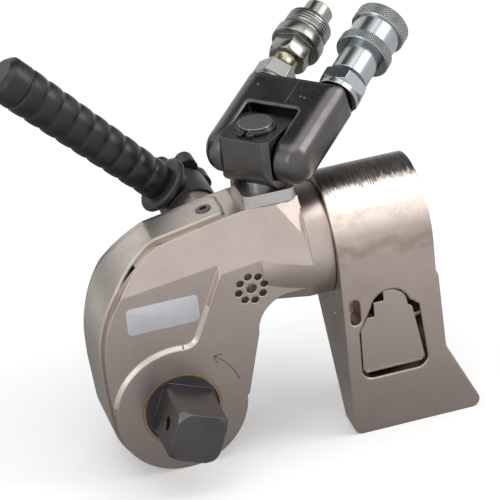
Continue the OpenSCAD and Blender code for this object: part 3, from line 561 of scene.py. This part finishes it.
FINISHES: dict[str, Finish] = {
    "plated": Finish(
        "plated_steel", (196, 183, 176), (188, 175, 167), (228, 215, 204), roughness=0.34, edge=0.8,
    ),
    "arm": ArmFinish(
        "plated_arm", (194, 180, 172), (184, 169, 161), (222, 208, 198), roughness=0.34,
        edge=1.6, wear=0.35,
    ),
    "satin_strip": Finish(
        "brushed_strip", (212, 205, 197), (200, 192, 183), (184, 164, 140), roughness=0.42,
        grain=Grain.BRUSHED, pitch=0.25, relief=0.02, axis=DRIVE_AXIS, edge=2.5, wear=0.25,
    ),
    "satin_pad": Finish(
        "satin_steel", (205, 203, 202), (196, 193, 190), (225, 224, 222), roughness=0.4,
        grain=Grain.BRUSHED, pitch=0.2, edge=0.4,
    ),
    "dark_screw": Finish(
        "screw_steel", (120, 105, 102), (92, 80, 78), (160, 145, 140), roughness=0.3, edge=0.3,
    ),
    "bronze": Finish(
        "bronze", (206, 176, 134), (190, 158, 118), (226, 200, 160), roughness=0.3,
        grain=Grain.TURNED, pitch=0.25, axis=DRIVE_AXIS, edge=0.25,
    ),
    "seal": Finish(
        "seal_rubber", (30, 30, 31), (24, 24, 25), (38, 38, 40), metallic=0.0, roughness=0.55,
        grain=Grain.MOULDED, edge=0.2,
    ),
    "turned_cap": Finish(
        "turned_cap", (182, 176, 170), (168, 160, 154), (214, 208, 200), roughness=0.3,
        grain=Grain.TURNED, axis=CYLINDER_AXIS, edge=0.4,
    ),
    "machined": Finish(
        "machined_steel", (176, 176, 178), (160, 160, 163), (210, 210, 212), roughness=0.28,
        pitch=0.2, relief=0.006, edge=0.3,
    ),
    "drive_black": Finish(
        "drive_black", (106, 104, 106), (95, 93, 95), (134, 132, 134), metallic=0.85, roughness=0.36,
        pitch=0.35, relief=0.008, edge=0.6, wear=0.35,
    ),
    "oxide": Finish(
        "black_oxide", (98, 95, 95), (89, 86, 86), (122, 117, 115), roughness=0.3,
        pitch=0.4, relief=0.006, edge=0.9, wear=0.3,
    ),
    "ground_pin": Finish(
        "ground_pin", (150, 152, 150), (135, 137, 134), (240, 240, 238), roughness=0.22,
        grain=Grain.TURNED, pitch=0.2, axis=SPIGOT_AXIS,
    ),
    "spring_steel": Finish(
        "spring_steel", (110, 108, 106), (92, 90, 88), (170, 168, 165), roughness=0.3, edge=0.25,
    ),
    "zinc_yellow": Finish(
        "zinc_yellow", (162, 158, 134), (148, 143, 116), (206, 203, 188), roughness=0.32,
        grain=Grain.TURNED, pitch=0.25, axis=port_axis(MALE_AXIS_X), edge=0.4,
    ),
    "zinc_male": CutFinish(
        "zinc_male", (146, 145, 141), (130, 130, 127), (206, 206, 202), roughness=0.24,
        grain=Grain.TURNED, relief=0.16, axis=port_axis(MALE_AXIS_X), edge=0.4,
        zones=((83.6, 90.0, Cut.THREAD),), lead=1.6,
    ),
    "zinc_female": CutFinish(
        "zinc_female", (170, 176, 177), (154, 162, 164), (226, 230, 231), roughness=0.24,
        grain=Grain.TURNED, relief=0.3, axis=port_axis(FEMALE_AXIS_X), edge=0.4,
        zones=((74.4, 79.6, Cut.KNURL), (92.0, 99.0, Cut.KNURL)),
    ),
    "plastic": Finish(
        "moulded_plastic", (42, 42, 46), (36, 36, 40), (58, 58, 63), metallic=0.0, roughness=0.42,
        grain=Grain.MOULDED, pitch=0.35, relief=0.02, edge=1.0, wear=0.3,
    ),
    "rubber": Finish(
        "grip_rubber", (21, 21, 25), (16, 16, 19), (34, 34, 39), metallic=0.0, roughness=0.36,
        grain=Grain.MOULDED, pitch=0.4, relief=0.03, edge=0.8, wear=0.3,
    ),
    "label": Finish(
        "bare_plate", (206, 206, 211), (198, 198, 204), (226, 226, 230), metallic=0.35, roughness=0.45,
        grain=Grain.BRUSHED, pitch=0.2, relief=0.004, axis=Axis(direction=(1.0, 0.0, 0.0)), edge=0.15,
    ),
    "scribed": Finish(
        "scribed_line", (128, 124, 121), (116, 112, 110), (140, 136, 132), roughness=0.5, edge=0.05,
    ),
    "engraved": Finish(
        "engraved_line", (132, 118, 111), (120, 107, 100), (146, 132, 124), roughness=0.6, edge=0.1,
    ),
}


class Pick(Enum):
    """What edit mode selects."""

    POINTS = "VERT"
    EDGES = "EDGE"


class Bench:
    """Blender's own operators, as used by hand."""

    @staticmethod
    def clear() -> None:
        """Leave edit mode and select nothing."""
        if bpy.context.object and bpy.context.object.mode != "OBJECT":
            bpy.ops.object.mode_set(mode="OBJECT")
        bpy.ops.object.select_all(action="DESELECT")

    @staticmethod
    def hold(piece: bpy.types.Object) -> None:
        """Select one piece alone and make it the active one.

        Args:
            piece: the piece.
        """
        Bench.clear()
        piece.select_set(True)
        bpy.context.view_layer.objects.active = piece

    @staticmethod
    def settle() -> None:
        """Move the held piece's place, turn and scale into its mesh."""
        bpy.ops.object.transform_apply(location=True, rotation=True, scale=True)

    @staticmethod
    def primitive(name: str, add: Callable[..., Any], **sizes: Any) -> bpy.types.Object:
        """Add a primitive whose place goes into its mesh.

        Args:
            name: the piece's name.
            add: the operator.
            sizes: the operator's own sizes.

        Returns:
            The new object, at the origin.
        """
        Bench.clear()
        add(**sizes)
        piece = bpy.context.object
        piece.name = name
        piece.data.name = name
        Bench.settle()
        return piece

    @staticmethod
    def place(piece: bpy.types.Object, frame: Matrix) -> bpy.types.Object:
        """Move a piece into a frame, with the move kept in its mesh.

        Args:
            piece: the piece, made about the origin.
            frame: the frame, in millimetres.

        Returns:
            The piece.
        """
        Bench.hold(piece)
        turn = frame.to_3x3().to_4x4()
        piece.matrix_world = Matrix.Translation(frame.translation * MM) @ turn
        Bench.settle()
        return piece

    @staticmethod
    @contextmanager
    def editing(piece: bpy.types.Object, kind: Pick = Pick.POINTS) -> Iterator[None]:
        """Edit a piece with everything on it selected.

        Args:
            piece: the piece.
            kind: what is selected.

        Yields:
            Nothing, while edit mode is on.
        """
        Bench.hold(piece)
        bpy.ops.object.mode_set(mode="EDIT")
        bpy.ops.mesh.select_mode(type=kind.value)
        bpy.ops.mesh.select_all(action="SELECT")
        yield
        bpy.ops.object.mode_set(mode="OBJECT")

    @staticmethod
    def pick_edges(piece: bpy.types.Object, test: Callable[[Vector, Vector], bool]) -> None:
        """Select the edges that pass a test, in edit mode.

        Args:
            piece: the piece.
            test: takes the places of both ends in metres.
        """
        bpy.ops.mesh.select_all(action="DESELECT")
        bpy.ops.object.mode_set(mode="OBJECT")
        mesh = piece.data
        for edge in mesh.edges:
            edge.select = test(*(mesh.vertices[i].co for i in edge.vertices))
        bpy.ops.object.mode_set(mode="EDIT")

    @staticmethod
    def modify(piece: bpy.types.Object, kind: str, **settings: Any) -> None:
        """Apply a modifier to the held piece.

        Args:
            piece: the piece.
            kind: the modifier's type.
            settings: its properties.
        """
        modifier = piece.modifiers.new(kind.lower(), kind)
        for key, value in settings.items():
            setattr(modifier, key, value)
        bpy.ops.object.modifier_apply(modifier=modifier.name)

    @staticmethod
    def soften(piece: bpy.types.Object, width: float) -> None:
        """Bevel the sharp edges and shade the piece smooth.

        Args:
            piece: the piece.
            width: the bevel's width in millimetres.
        """
        Bench.hold(piece)
        Bench.modify(piece, "BEVEL", width=width * MM, segments=SOFT_STEPS, limit_method="ANGLE")
        bpy.ops.object.shade_smooth_by_angle(angle=SMOOTH_ANGLE)

    @staticmethod
    def turned(name: str, profile: Profile, frame: Matrix, sides: int = 96) -> bpy.types.Object:
        """Turn a closed piece from a profile.

        Args:
            name: the piece's name.
            profile: radius and height of each step, in millimetres.
            frame: frame whose Z is the axis, in millimetres.
            sides: steps round the axis.

        Returns:
            The piece.
        """
        radius, height = profile[0]
        piece = Bench.primitive(
            name, bpy.ops.mesh.primitive_circle_add, vertices=sides, radius=radius * MM,
            location=(0, 0, height * MM), fill_type="NGON",
        )
        with Bench.editing(piece):
            for wide, rise in profile[1:]:
                bpy.ops.mesh.extrude_region()
                bpy.ops.transform.translate(value=(0, 0, (rise - height) * MM))
                grow = wide / radius
                bpy.ops.transform.resize(value=(grow, grow, 1), center_override=(0, 0, rise * MM))
                radius, height = wide, rise
            bpy.ops.mesh.select_all(action="SELECT")
            bpy.ops.mesh.normals_make_consistent(inside=False)
        Bench.place(piece, frame)
        bpy.ops.object.shade_smooth_by_angle(angle=SMOOTH_ANGLE)
        return piece

    @staticmethod
    def slice_off(point: Vector, outward: Vector) -> None:
        """Cut the piece in edit mode flat at a point in millimetres, and drop what lies outward."""
        bpy.ops.mesh.select_all(action="SELECT")
        bpy.ops.mesh.bisect(plane_co=point * MM, plane_no=outward, use_fill=True, clear_outer=True)

    @staticmethod
    def rounded(
        name: str, node: bpy.types.Object, voxel: float, rounds: int, slices: Sequence[Slice],
    ) -> bpy.types.Object:
        """Copy a CAD node with its corners sliced off and all its edges rounded.

        Args:
            name: the copy's name.
            node: the CAD node.
            voxel: size of the copy's faces in millimetres.
            rounds: rounds of smoothing.
            slices: point, in millimetres, and outward direction of each slice.

        Returns:
            The copy.
        """
        Bench.hold(node)
        bpy.ops.object.duplicate()
        piece = bpy.context.object
        piece.name = name
        piece.data.name = name
        with Bench.editing(piece):
            bpy.ops.mesh.remove_doubles(threshold=WELD * MM)
            for point, outward in slices:
                Bench.slice_off(point, outward)
        Bench.modify(piece, "REMESH", mode="VOXEL", voxel_size=voxel * MM)
        Bench.modify(piece, "SMOOTH", iterations=rounds)
        bpy.ops.object.shade_smooth()
        return piece

    @staticmethod
    def join(name: str, pieces: Sequence[bpy.types.Object]) -> bpy.types.Object:
        """Join pieces into one.

        Args:
            name: the joined piece's name.
            pieces: the pieces.

        Returns:
            The joined piece.
        """
        Bench.clear()
        for piece in pieces:
            piece.select_set(True)
        bpy.context.view_layer.objects.active = pieces[0]
        bpy.ops.object.join()
        pieces[0].name = name
        return pieces[0]


@dataclass(frozen=True)
class FloorPaint:
    """White paper floor that keeps the shadow and stays white to the camera, with a painted shadow near the
    wrench in reflections, in metres.
    """

    width: float
    paper: float = 0.85
    # Lift: glow that keeps the paper white to the camera, and also the painted shadow's glow near the
    # wrench in reflections.
    lift: float = 0.22
    far_glow: float = 0.9
    painted_shadow_fade: Range = (0.06, 0.5)
    painted_shadow_shift: float = 0.12

    def make(self) -> bpy.types.Material:
        """Make the material.

        Returns:
            The material.
        """
        material, nodes = new_material("paper")
        across, away, _ = nodes.split(nodes.source("ShaderNodeTexCoord", "Object"))
        distance = (across * self.width).reach(away * self.width - self.painted_shadow_shift)
        paper = nodes.node("ShaderNodeBsdfDiffuse", inputs={"Color": (*[self.paper] * 3, 1.0)})
        bright = nodes.node("ShaderNodeAddShader", inputs={0: paper, 1: nodes.glow(self.lift)})
        # Painted shadow: in reflections the floor glows dimmer near the wrench and brighter far away.
        painted_shadow_mirror = nodes.blend(distance.between(*self.painted_shadow_fade), nodes.glow(self.lift), nodes.glow(self.far_glow))
        seen = nodes.source("ShaderNodeLightPath", "Is Camera Ray")
        glossy = nodes.source("ShaderNodeLightPath", "Is Glossy Ray")
        nodes.finish(nodes.blend(glossy, nodes.blend(seen, paper, bright), painted_shadow_mirror))
        return material


@dataclass(frozen=True)
class Lamp:
    """A soft area lamp: its middle and size in metres, and its power in watts."""

    name: str
    place: Point
    size: tuple[float, float]
    power: float


@dataclass(frozen=True)
class Cloth:
    """A grey cloth: its glow, middle in metres, turn in degrees and size in metres."""

    name: str
    glow: float
    place: Point
    turn: Point
    size: tuple[float, float]


@dataclass
class Studio:
    """Floor, soft light and the photograph's camera.

    The floor's height and the camera are in millimetres, and the rest of the stage is in metres.
    """

    floor_z: float = -33.5
    floor_width: float = 9.0
    middle: Point = (0.05, 0.02, 0.06)
    eye: Point = (-242.37, -1205.34, 751.48)
    right: Point = (0.9543, -0.2817, -0.1001)
    up: Point = (0.22, 0.4348, 0.8733)
    back: Point = (-0.2025, -0.8553, 0.4769)
    lens: float = 209.75
    sensor: float = 36.0
    view_end: float = 20.0
    sky: float = 0.7
    lamps: tuple[Lamp, ...] = (
        Lamp("top_box", (0.05, -0.1, 1.5), (1.5, 0.9), 5.1),
        Lamp("left_box", (-1.3, -0.7, 0.9), (0.6, 0.9), 3.0),
        Lamp("right_box", (1.02, -0.3, 0.94), (0.5, 0.8), 4.6),
    )
    cloths: tuple[Cloth, ...] = (
        Cloth("low_cloth", 0.3, (0.93, 1.0, 0.58), (90, 0, 0), (1.6, 0.86)),
        Cloth("high_cloth", 0.09, (0.5, 1.0, 1.75), (90, 0, 0), (2.4, 1.5)),
        Cloth("left_cloth", 0.09, (-0.5, 0.62, 0.08), (90, 0, 25), (0.8, 0.22)),
    )

    def plane(self, name: str, place: Point, turn: Point, size: tuple[float, float]) -> bpy.types.Object:
        """Add a flat stage piece.

        Args:
            name: its name.
            place: its middle in metres.
            turn: its turn in degrees.
            size: width and height in metres.

        Returns:
            The stage piece.
        """
        Bench.clear()
        angles = tuple(math.radians(a) for a in turn)
        bpy.ops.mesh.primitive_plane_add(size=1.0, location=place, rotation=angles)
        piece = bpy.context.object
        piece.name = name
        piece.scale = (size[0], size[1], 1.0)
        return piece

    def hang_lamp(self, lamp: Lamp) -> None:
        """Add a lamp that faces the wrench.

        Args:
            lamp: the lamp.
        """
        data = bpy.data.lights.new(lamp.name, "AREA")
        data.shape = "RECTANGLE"
        data.size, data.size_y = lamp.size
        data.energy = lamp.power
        hung = bpy.data.objects.new(lamp.name, data)
        hung.location = lamp.place
        away = Vector(lamp.place) - Vector(self.middle)
        hung.rotation_euler = away.to_track_quat("Z", "Y").to_euler()
        bpy.context.scene.collection.objects.link(hung)

    def hang_cloth(self, cloth: Cloth) -> None:
        """Hang a cloth that is seen in reflections only.

        Args:
            cloth: the cloth.
        """
        grey, nodes = new_material(cloth.name)
        nodes.finish(nodes.glow(cloth.glow))
        piece = self.plane(cloth.name, cloth.place, cloth.turn, cloth.size)
        piece.data.materials.append(grey)
        piece.visible_camera = False
        piece.visible_diffuse = False
        piece.visible_shadow = False

    def light(self) -> None:
        """Set the sky, which is white to the camera and in reflections."""
        world = bpy.data.worlds.new("studio")
        bpy.context.scene.world = world
        world.use_nodes = True
        nodes = NodeMaker(world.node_tree)
        rays = ("Is Camera Ray", "Is Glossy Ray", "Is Transmission Ray")
        seen = sum(nodes.source("ShaderNodeLightPath", ray) for ray in rays).clamp()
        white = (1.0, 1.0, 1.0, 1.0)
        soft, plain = (
            nodes.node("ShaderNodeBackground", inputs={"Color": white, "Strength": strength})
            for strength in (self.sky, 1.0)
        )
        nodes.finish(nodes.blend(seen, soft, plain), "ShaderNodeOutputWorld")

    def film(self) -> None:
        """Set up the camera."""
        data = bpy.data.cameras.new("camera")
        data.lens = self.lens
        data.sensor_width = self.sensor
        data.clip_end = self.view_end
        camera = bpy.data.objects.new("camera", data)
        columns = Matrix((self.right, self.up, self.back)).transposed().to_4x4()
        camera.matrix_world = Matrix.Translation(Vector(self.eye) * MM) @ columns
        scene = bpy.context.scene
        scene.collection.objects.link(camera)
        scene.camera = camera
        scene.view_settings.view_transform = "Standard"

    def build(self) -> None:
        """Set up the whole studio."""
        size = (self.floor_width, self.floor_width)
        floor = self.plane("floor", (0.0, 0.0, self.floor_z * MM), (0, 0, 0), size)
        floor.data.materials.append(FloorPaint(self.floor_width).make())
        self.light()
        for lamp in self.lamps:
            self.hang_lamp(lamp)
        for cloth in self.cloths:
            self.hang_cloth(cloth)
        self.film()


class Wardrobe:
    """Every finish of the wrench, made once."""

    def __init__(self) -> None:
        """Make the materials."""
        self.made = {key: finish.make() for key, finish in FINISHES.items()}

    def wear(self, piece: bpy.types.Object, key: str) -> None:
        """Put a finish on a piece or a CAD node.

        Args:
            piece: the object.
            key: the finish.
        """
        if piece.material_slots:
            for slot in piece.material_slots:
                slot.material = self.made[key]
        else:
            piece.data.materials.append(self.made[key])


@dataclass
class Assembly:
    """A sub-assembly: CAD nodes with their finishes, and added pieces, in millimetres."""

    frame: dict[str, Any]
    wardrobe: Wardrobe
    added: list[str] = field(default_factory=list)
    dress_list: dict[str, str] = field(default_factory=dict)

    def dress(self) -> None:
        """Give each CAD node its finish."""
        for node, key in self.dress_list.items():
            self.wardrobe.wear(self.frame["nodes"][node], key)

    def fit(self, piece: bpy.types.Object, body: str, slot: str, finish: str, *nodes: str) -> None:
        """Finish a piece and let it ride.

        Args:
            piece: the piece, in place.
            body: the CAD body that it rides on.
            slot: the record's material slot, not used.
            finish: its finish.
            nodes: CAD nodes that it stands for.
        """
        self.wardrobe.wear(piece, finish)
        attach(piece, body)
        if nodes:
            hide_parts(*nodes)
        self.added.append(piece.name)

    def build(self) -> None:
        """Add the pieces of the sub-assembly, if it has any."""


@dataclass
class Head(Assembly):
    """Body, shroud, bushes, the plain label plate and the turning arrow."""

    dress_list: dict[str, str] = field(default_factory=lambda: {
        "body": "plated", "shroud": "satin_strip", "shroud_screws": "dark_screw", "front_bush": "bronze",
        "rear_bush": "bronze", "rod_seal": "seal", "end_cap": "turned_cap", "end_seal": "seal",
        "swivel_base": "satin_pad",
    })
    label_low: Point = (-21.6, 1.6, 46.6)
    label_high: Point = (14.7, 2.05, 61.1)
    label_round: float = 2.3
    label_edge: float = 0.12
    arrow_r: float = 32.0
    arrow_start: float = 18.0
    arrow_sweep: float = 36.0
    arrow_steps: int = 20
    barb_lean: float = 38.0
    barb_length: float = 4.2
    stroke: float = 0.55
    stroke_back: float = 0.05
    stroke_thick: float = 0.07

    def build(self) -> None:
        """Add the label plate and the turning arrow."""
        self.fit(self.label(), "housing", "satin_steel", "label")
        self.fit(self.arrow(), "housing", "black_oxide", "engraved")

    def label(self) -> bpy.types.Object:
        """Model the bare label plate.

        Returns:
            The plate.
        """
        low, high = Vector(self.label_low), Vector(self.label_high)
        middle, size = (low + high) / 2, high - low
        piece = Bench.primitive(
            "label_plate", bpy.ops.mesh.primitive_plane_add, size=1.0,
            location=(middle.x * MM, high.y * MM, middle.z * MM), rotation=(RIGHT_ANGLE, 0, 0),
        )
        with Bench.editing(piece):
            bpy.ops.transform.resize(value=(size.x * MM, 1.0, size.z * MM), center_override=middle * MM)
            bpy.ops.mesh.bevel(offset=self.label_round * MM, segments=CORNER_STEPS, affect="VERTICES")
            bpy.ops.mesh.extrude_region()
            bpy.ops.transform.translate(value=(0, -size.y * MM, 0))
        Bench.soften(piece, self.label_edge)
        return piece

    def arrow(self) -> bpy.types.Object:
        """Model the curved arrow that shows the way of turning.

        Returns:
            The arrow.
        """
        start = math.radians(self.arrow_start)
        end = math.radians(self.arrow_start + self.arrow_sweep)
        shares = [i / self.arrow_steps for i in range(self.arrow_steps + 1)]
        points = [self.boss_point(start + (end - start) * share, self.arrow_r) for share in shares]
        bars = [self.stroke_along("arrow", points)]
        for lean in (-self.barb_lean, self.barb_lean):
            barb = self.boss_point(end - RIGHT_ANGLE + math.radians(lean), self.barb_length)
            bars.append(self.stroke_along("arrow_barb", [points[-1], points[-1] + barb]))
        return Bench.join("turning_arrow", bars)

    @staticmethod
    def boss_point(angle: float, radius: float) -> Vector:
        """Find a point on the boss face by its angle and radius."""
        return Vector((math.cos(angle), 0, math.sin(angle))) * radius

    def stroke_along(self, name: str, points: Sequence[Vector]) -> bpy.types.Object:
        """Model one engraved stroke in the boss face.

        Args:
            name: its name.
            points: its middle line.

        Returns:
            The stroke.
        """
        start, limit = points[0] * MM, self.stroke * MM / 4
        run = (points[1] - points[0]).normalized()
        piece = Bench.primitive(
            name, bpy.ops.mesh.primitive_plane_add, size=self.stroke * MM, location=start,
            rotation=(RIGHT_ANGLE, -math.atan2(run.z, run.x), 0),
        )
        with Bench.editing(piece, Pick.EDGES):
            Bench.pick_edges(piece, lambda *ends: all((end - start).dot(run) > limit for end in ends))
            for here, there in itertools.pairwise(points):
                bpy.ops.mesh.extrude_region()
                bpy.ops.transform.translate(value=(there - here) * MM)
            bpy.ops.mesh.select_all(action="SELECT")
            bpy.ops.transform.translate(value=(0, self.stroke_back * MM, 0))
            bpy.ops.mesh.extrude_region()
            bpy.ops.transform.translate(value=(0, -self.stroke_thick * MM, 0))
            bpy.ops.mesh.normals_make_consistent(inside=False)
        return piece


@dataclass
class DriveTrain(Assembly):
    """Square drive, ratchet, lever, pawl and piston."""

    dress_list: dict[str, str] = field(default_factory=lambda: {
        "square_drive": "drive_black", "drive_retainer": "drive_black", "piston_seal": "seal",
        **dict.fromkeys((
            "ratchet", "release_button", "lever_plates", "crank_pin", "pawl_pin", "spring_pin",
            "pawl_spring", "drive_pawl", "piston", "piston_rod",
        ), "machined"),
    })


@dataclass
class Swivel(Assembly):
    """Post, spigot, circlip and manifold of the hose swivel."""

    dress_list: dict[str, str] = field(default_factory=lambda: {
        "spigot": "ground_pin", "circlip": "spring_steel", "swivel_post": "oxide", "pivot_pins": "machined",
    })
    fork_w: float = 57.0
    fork_end: float = 12.0
    fork_round: float = 9.0
    fork_leans: range = range(-75, 76, 25)
    port_round: float = 5.0
    slants: tuple[float, ...] = (22.5, 45.0, 67.5)
    voxel: float = 0.6
    rounds: int = 35
    face_y: float = -12.0
    line_x: float = 5.5
    line_z: Range = (24.6, 40.4)
    line_w: float = 0.3
    dots: tuple[tuple[float, float], ...] = ((-14.7, 33.8), (11.4, 30.4), (13.8, 29.8))
    dot_r: float = 0.7
    dot_sides: int = 24
    mark_thick: float = 0.06
    mark_edge: float = 0.02

    def corner_slices(self) -> list[Slice]:
        """Find the slices that round the manifold's four corners.

        Returns:
            Point and outward direction of each slice.
        """
        slices = []
        half, turn = self.fork_w / 2, SWIVEL_FRAME.to_3x3()
        corners = [(0.0, PORT_END, self.port_round)]
        corners += [(180.0 + lean, self.fork_end, self.fork_round) for lean in self.fork_leans]
        for lean, reach, radius in corners:
            away = Vector((0, math.sin(math.radians(lean)), math.cos(math.radians(lean))))
            for side, degrees in itertools.product((-1, 1), self.slants):
                angle = math.radians(degrees)
                outward = Vector((side * math.cos(angle), 0, 0)) + away * math.sin(angle)
                centre = Vector((FORK_MIDDLE + side * (half - radius), 0, 0)) + away * (reach - radius)
                slices.append((SWIVEL_FRAME @ (centre + outward * radius), turn @ outward))
        return slices

    def mark(self, piece: bpy.types.Object, across: float, up: float) -> None:
        """Put a mark on the manifold's face.

        Args:
            piece: the mark, made about the origin.
            across: its place along the tilt axis.
            up: its place towards the ports.
        """
        Bench.soften(piece, self.mark_edge)
        frame = SWIVEL_FRAME @ Matrix.Translation((across, self.face_y, up))
        self.fit(Bench.place(piece, frame), "manifold_group", "black_oxide", "scribed")

    def build(self) -> None:
        """Add the rounded manifold, with the line between its ports and their dots."""
        node = self.frame["nodes"]["manifold"]
        block = Bench.rounded("manifold_block", node, self.voxel, self.rounds, self.corner_slices())
        self.fit(block, "manifold_group", "black_oxide", "oxide", "manifold")
        low, high = self.line_z
        line = Bench.primitive("port_line", bpy.ops.mesh.primitive_cube_add, size=MM)
        with Bench.editing(line):
            bpy.ops.transform.resize(value=(self.line_w, self.mark_thick, high - low))
        self.mark(line, self.line_x, (low + high) / 2)
        for number, (across, up) in enumerate(self.dots):
            dot = Bench.primitive(
                f"port_dot_{number}", bpy.ops.mesh.primitive_cylinder_add, vertices=self.dot_sides,
                radius=self.dot_r * MM, depth=self.mark_thick * MM, rotation=(RIGHT_ANGLE, 0, 0),
            )
            self.mark(dot, across, up)


@dataclass
class Couplers(Assembly):
    """Nipples, couplers and the knurled sleeve.

    Profiles are radius and height, from the port for the nipple and from coupler_z for the coupler.
    """

    dress_list: dict[str, str] = field(default_factory=lambda: {
        "female_adapter": "zinc_female", "female_coupler": "zinc_female", "coupler_sleeve": "zinc_female",
    })
    washer: Profile = ((9.2, 0), (9.6, 0.3), (9.6, 1.3), (9.2, 1.6), (8.0, 1.7))
    nut: Profile = ((9.9, 1.6), (10.9, 2.3), (10.9, 10.8), (9.9, 11.5))
    nut_edge: float = 0.25
    neck: Profile = ((7.6, 11), (7.6, 12), (6.6, 13), (6.4, 14), (6.4, 17), (7, 18.6))
    coupler_z: float = 63.0
    hexagon: Profile = ((8.6, 0), (9.9, 0.7), (10.7, 2), (10.9, 3.5), (10.9, 10.6))
    hexagon_flat: float = 9.5
    hexagon_turn: float = -40.0
    hexagon_edge: float = 0.2
    barrel: Profile = (
        (9.4, 9), (9.4, 10.4), (12.4, 10.4), (13.1, 10.8), (13.25, 11.6), (13.25, 16), (12.9, 17.2),
        (11.9, 17.9), (11.1, 18), (11.1, 19.4), (11.8, 19.7), (12, 20.3), (12, 27.2), (11.7, 27.8),
        (11.1, 28), (7.5, 28), (7.5, 38.2), (7.0, 38.75), (6.35, 39.35), (4.9, 39.4), (4.9, 33.5),
    )

    def build(self) -> None:
        """Turn the male side: washer, hexagon, neck and coupler."""
        port = SWIVEL_FRAME @ Matrix.Translation((MALE_AXIS_X, 0, PORT_END))
        washer = Bench.turned("nipple_washer", self.washer, port)
        nut = Bench.turned("nipple_hexagon", self.nut, port, HEX_SIDES)
        Bench.soften(nut, self.nut_edge)
        neck = Bench.turned("nipple_neck", self.neck, port)
        joined = Bench.join("nipple", [nut, washer])
        self.fit(joined, "manifold_group", "zinc_plate", "zinc_male", "male_adapter")
        self.fit(neck, "manifold_group", "bronze", "zinc_yellow")
        self.fit(self.coupler(), "manifold_group", "zinc_plate", "zinc_male", "male_coupler")

    def coupler(self) -> bpy.types.Object:
        """Turn the male coupler and cut the hexagon for a spanner.

        Returns:
            The coupler.
        """
        origin = Matrix.Identity(4)
        hexagon = Bench.turned("hexagon", self.hexagon, origin)
        for number in range(HEX_SIDES):
            turn = math.radians(self.hexagon_turn + 360 / HEX_SIDES * number)
            outward = Vector((math.cos(turn), math.sin(turn), 0))
            with Bench.editing(hexagon):
                Bench.slice_off(outward * self.hexagon_flat, outward)
        Bench.soften(hexagon, self.hexagon_edge)
        barrel = Bench.turned("barrel", self.barrel, origin)
        joined = Bench.join("threaded_coupler", [hexagon, barrel])
        return Bench.place(joined, SWIVEL_FRAME @ Matrix.Translation((MALE_AXIS_X, 0, self.coupler_z)))


@dataclass
class ReactionArm(Assembly):
    """Arm, lock lever, pin and spring."""

    dress_list: dict[str, str] = field(default_factory=lambda: {
        "reaction_arm": "arm", "lock_lever": "plated", "lock_pin": "machined",
        "lock_spring": "spring_steel",
    })
    lip_inset: float = 1.2
    lip_thick: float = 4.4
    lip_depth: float = 2.1
    lip_lap: float = 0.2
    lip_round: float = 1.6
    lip_edge: float = 0.2

    def build(self) -> None:
        """Add the lip along the lock lever's lower edge, rounded below."""
        low, high = (Vector(corner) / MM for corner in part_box("lock_lever"))
        size = Vector((high.x - low.x - 2 * self.lip_inset, self.lip_thick, self.lip_depth + self.lip_lap))
        middle = Vector(((low.x + high.x) / 2, low.y + size.y / 2, low.z + self.lip_lap - size.z / 2))
        lip = Bench.primitive("lever_lip", bpy.ops.mesh.primitive_cube_add, size=MM)
        with Bench.editing(lip, Pick.EDGES):
            bpy.ops.transform.resize(value=size)
            Bench.pick_edges(lip, lambda a, b: max(a.z, b.z) < 0)
            bpy.ops.mesh.bevel(offset=self.lip_round * MM, segments=CORNER_STEPS)
        Bench.soften(lip, self.lip_edge)
        self.fit(Bench.place(lip, Matrix.Translation(middle)), "arm_lock", "plated_steel", "plated")


@dataclass
class Handle(Assembly):
    """Hub, ribbed grip, stud and knob.

    A rib's points are its share of the pitch and its rise, and the cap's are measured from the end.
    """

    dress_list: dict[str, str] = field(default_factory=lambda: {
        "handle_hub": "plastic", "handle_stud": "machined", "clamp_knob": "plastic",
    })
    start: float = 19.1
    plain_from: float = 110.0
    end: float = 124.0
    thin_r: float = 9.7
    thick_r: float = 11.7
    ribs: int = 9
    rib: Profile = (
        (0.0, -0.5), (0.06, -0.58), (0.14, -0.55), (0.2, -0.22), (0.34, 0.0), (0.55, 0.1), (0.76, 0.06),
        (0.9, -0.08), (0.95, -0.32),
    )
    cap: Profile = (
        (-0.9, -14), (-0.9, -13.3), (0, -12.6), (0, -3.6), (-0.5, -2.6), (-1.7, -1.4), (-3.2, -0.2),
    )

    def build(self) -> None:
        """Turn the grip with a rounded groove between its ribs and a plain cap."""
        pitch = (self.plain_from - self.start) / self.ribs
        profile = []
        for number, (share, rise) in itertools.product(range(self.ribs), self.rib):
            steps = number + share
            radius = self.thin_r + (self.thick_r - self.thin_r) * steps / self.ribs
            profile.append((radius + rise, self.start + pitch * steps))
        profile += [(self.thick_r + wider, self.end + further) for wider, further in self.cap]
        grip = Bench.turned("ribbed_grip", profile, GRIP_FRAME)
        self.fit(grip, "handle", "black_rubber", "rubber", "handle_grip")


def main() -> None:
    """Build the scene in order and report each piece."""
    logging.basicConfig(level=logging.INFO, format="%(message)s")
    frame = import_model()
    Studio().build()
    wardrobe = Wardrobe()
    for kind in (Head, DriveTrain, Swivel, Couplers, ReactionArm, Handle):
        part = kind(frame, wardrobe)
        part.dress()
        part.build()
        LOG.info("%s: %d CAD nodes, added %s", kind.__name__, len(part.dress_list), part.added or "none")


if __name__ == "__main__":
    main()
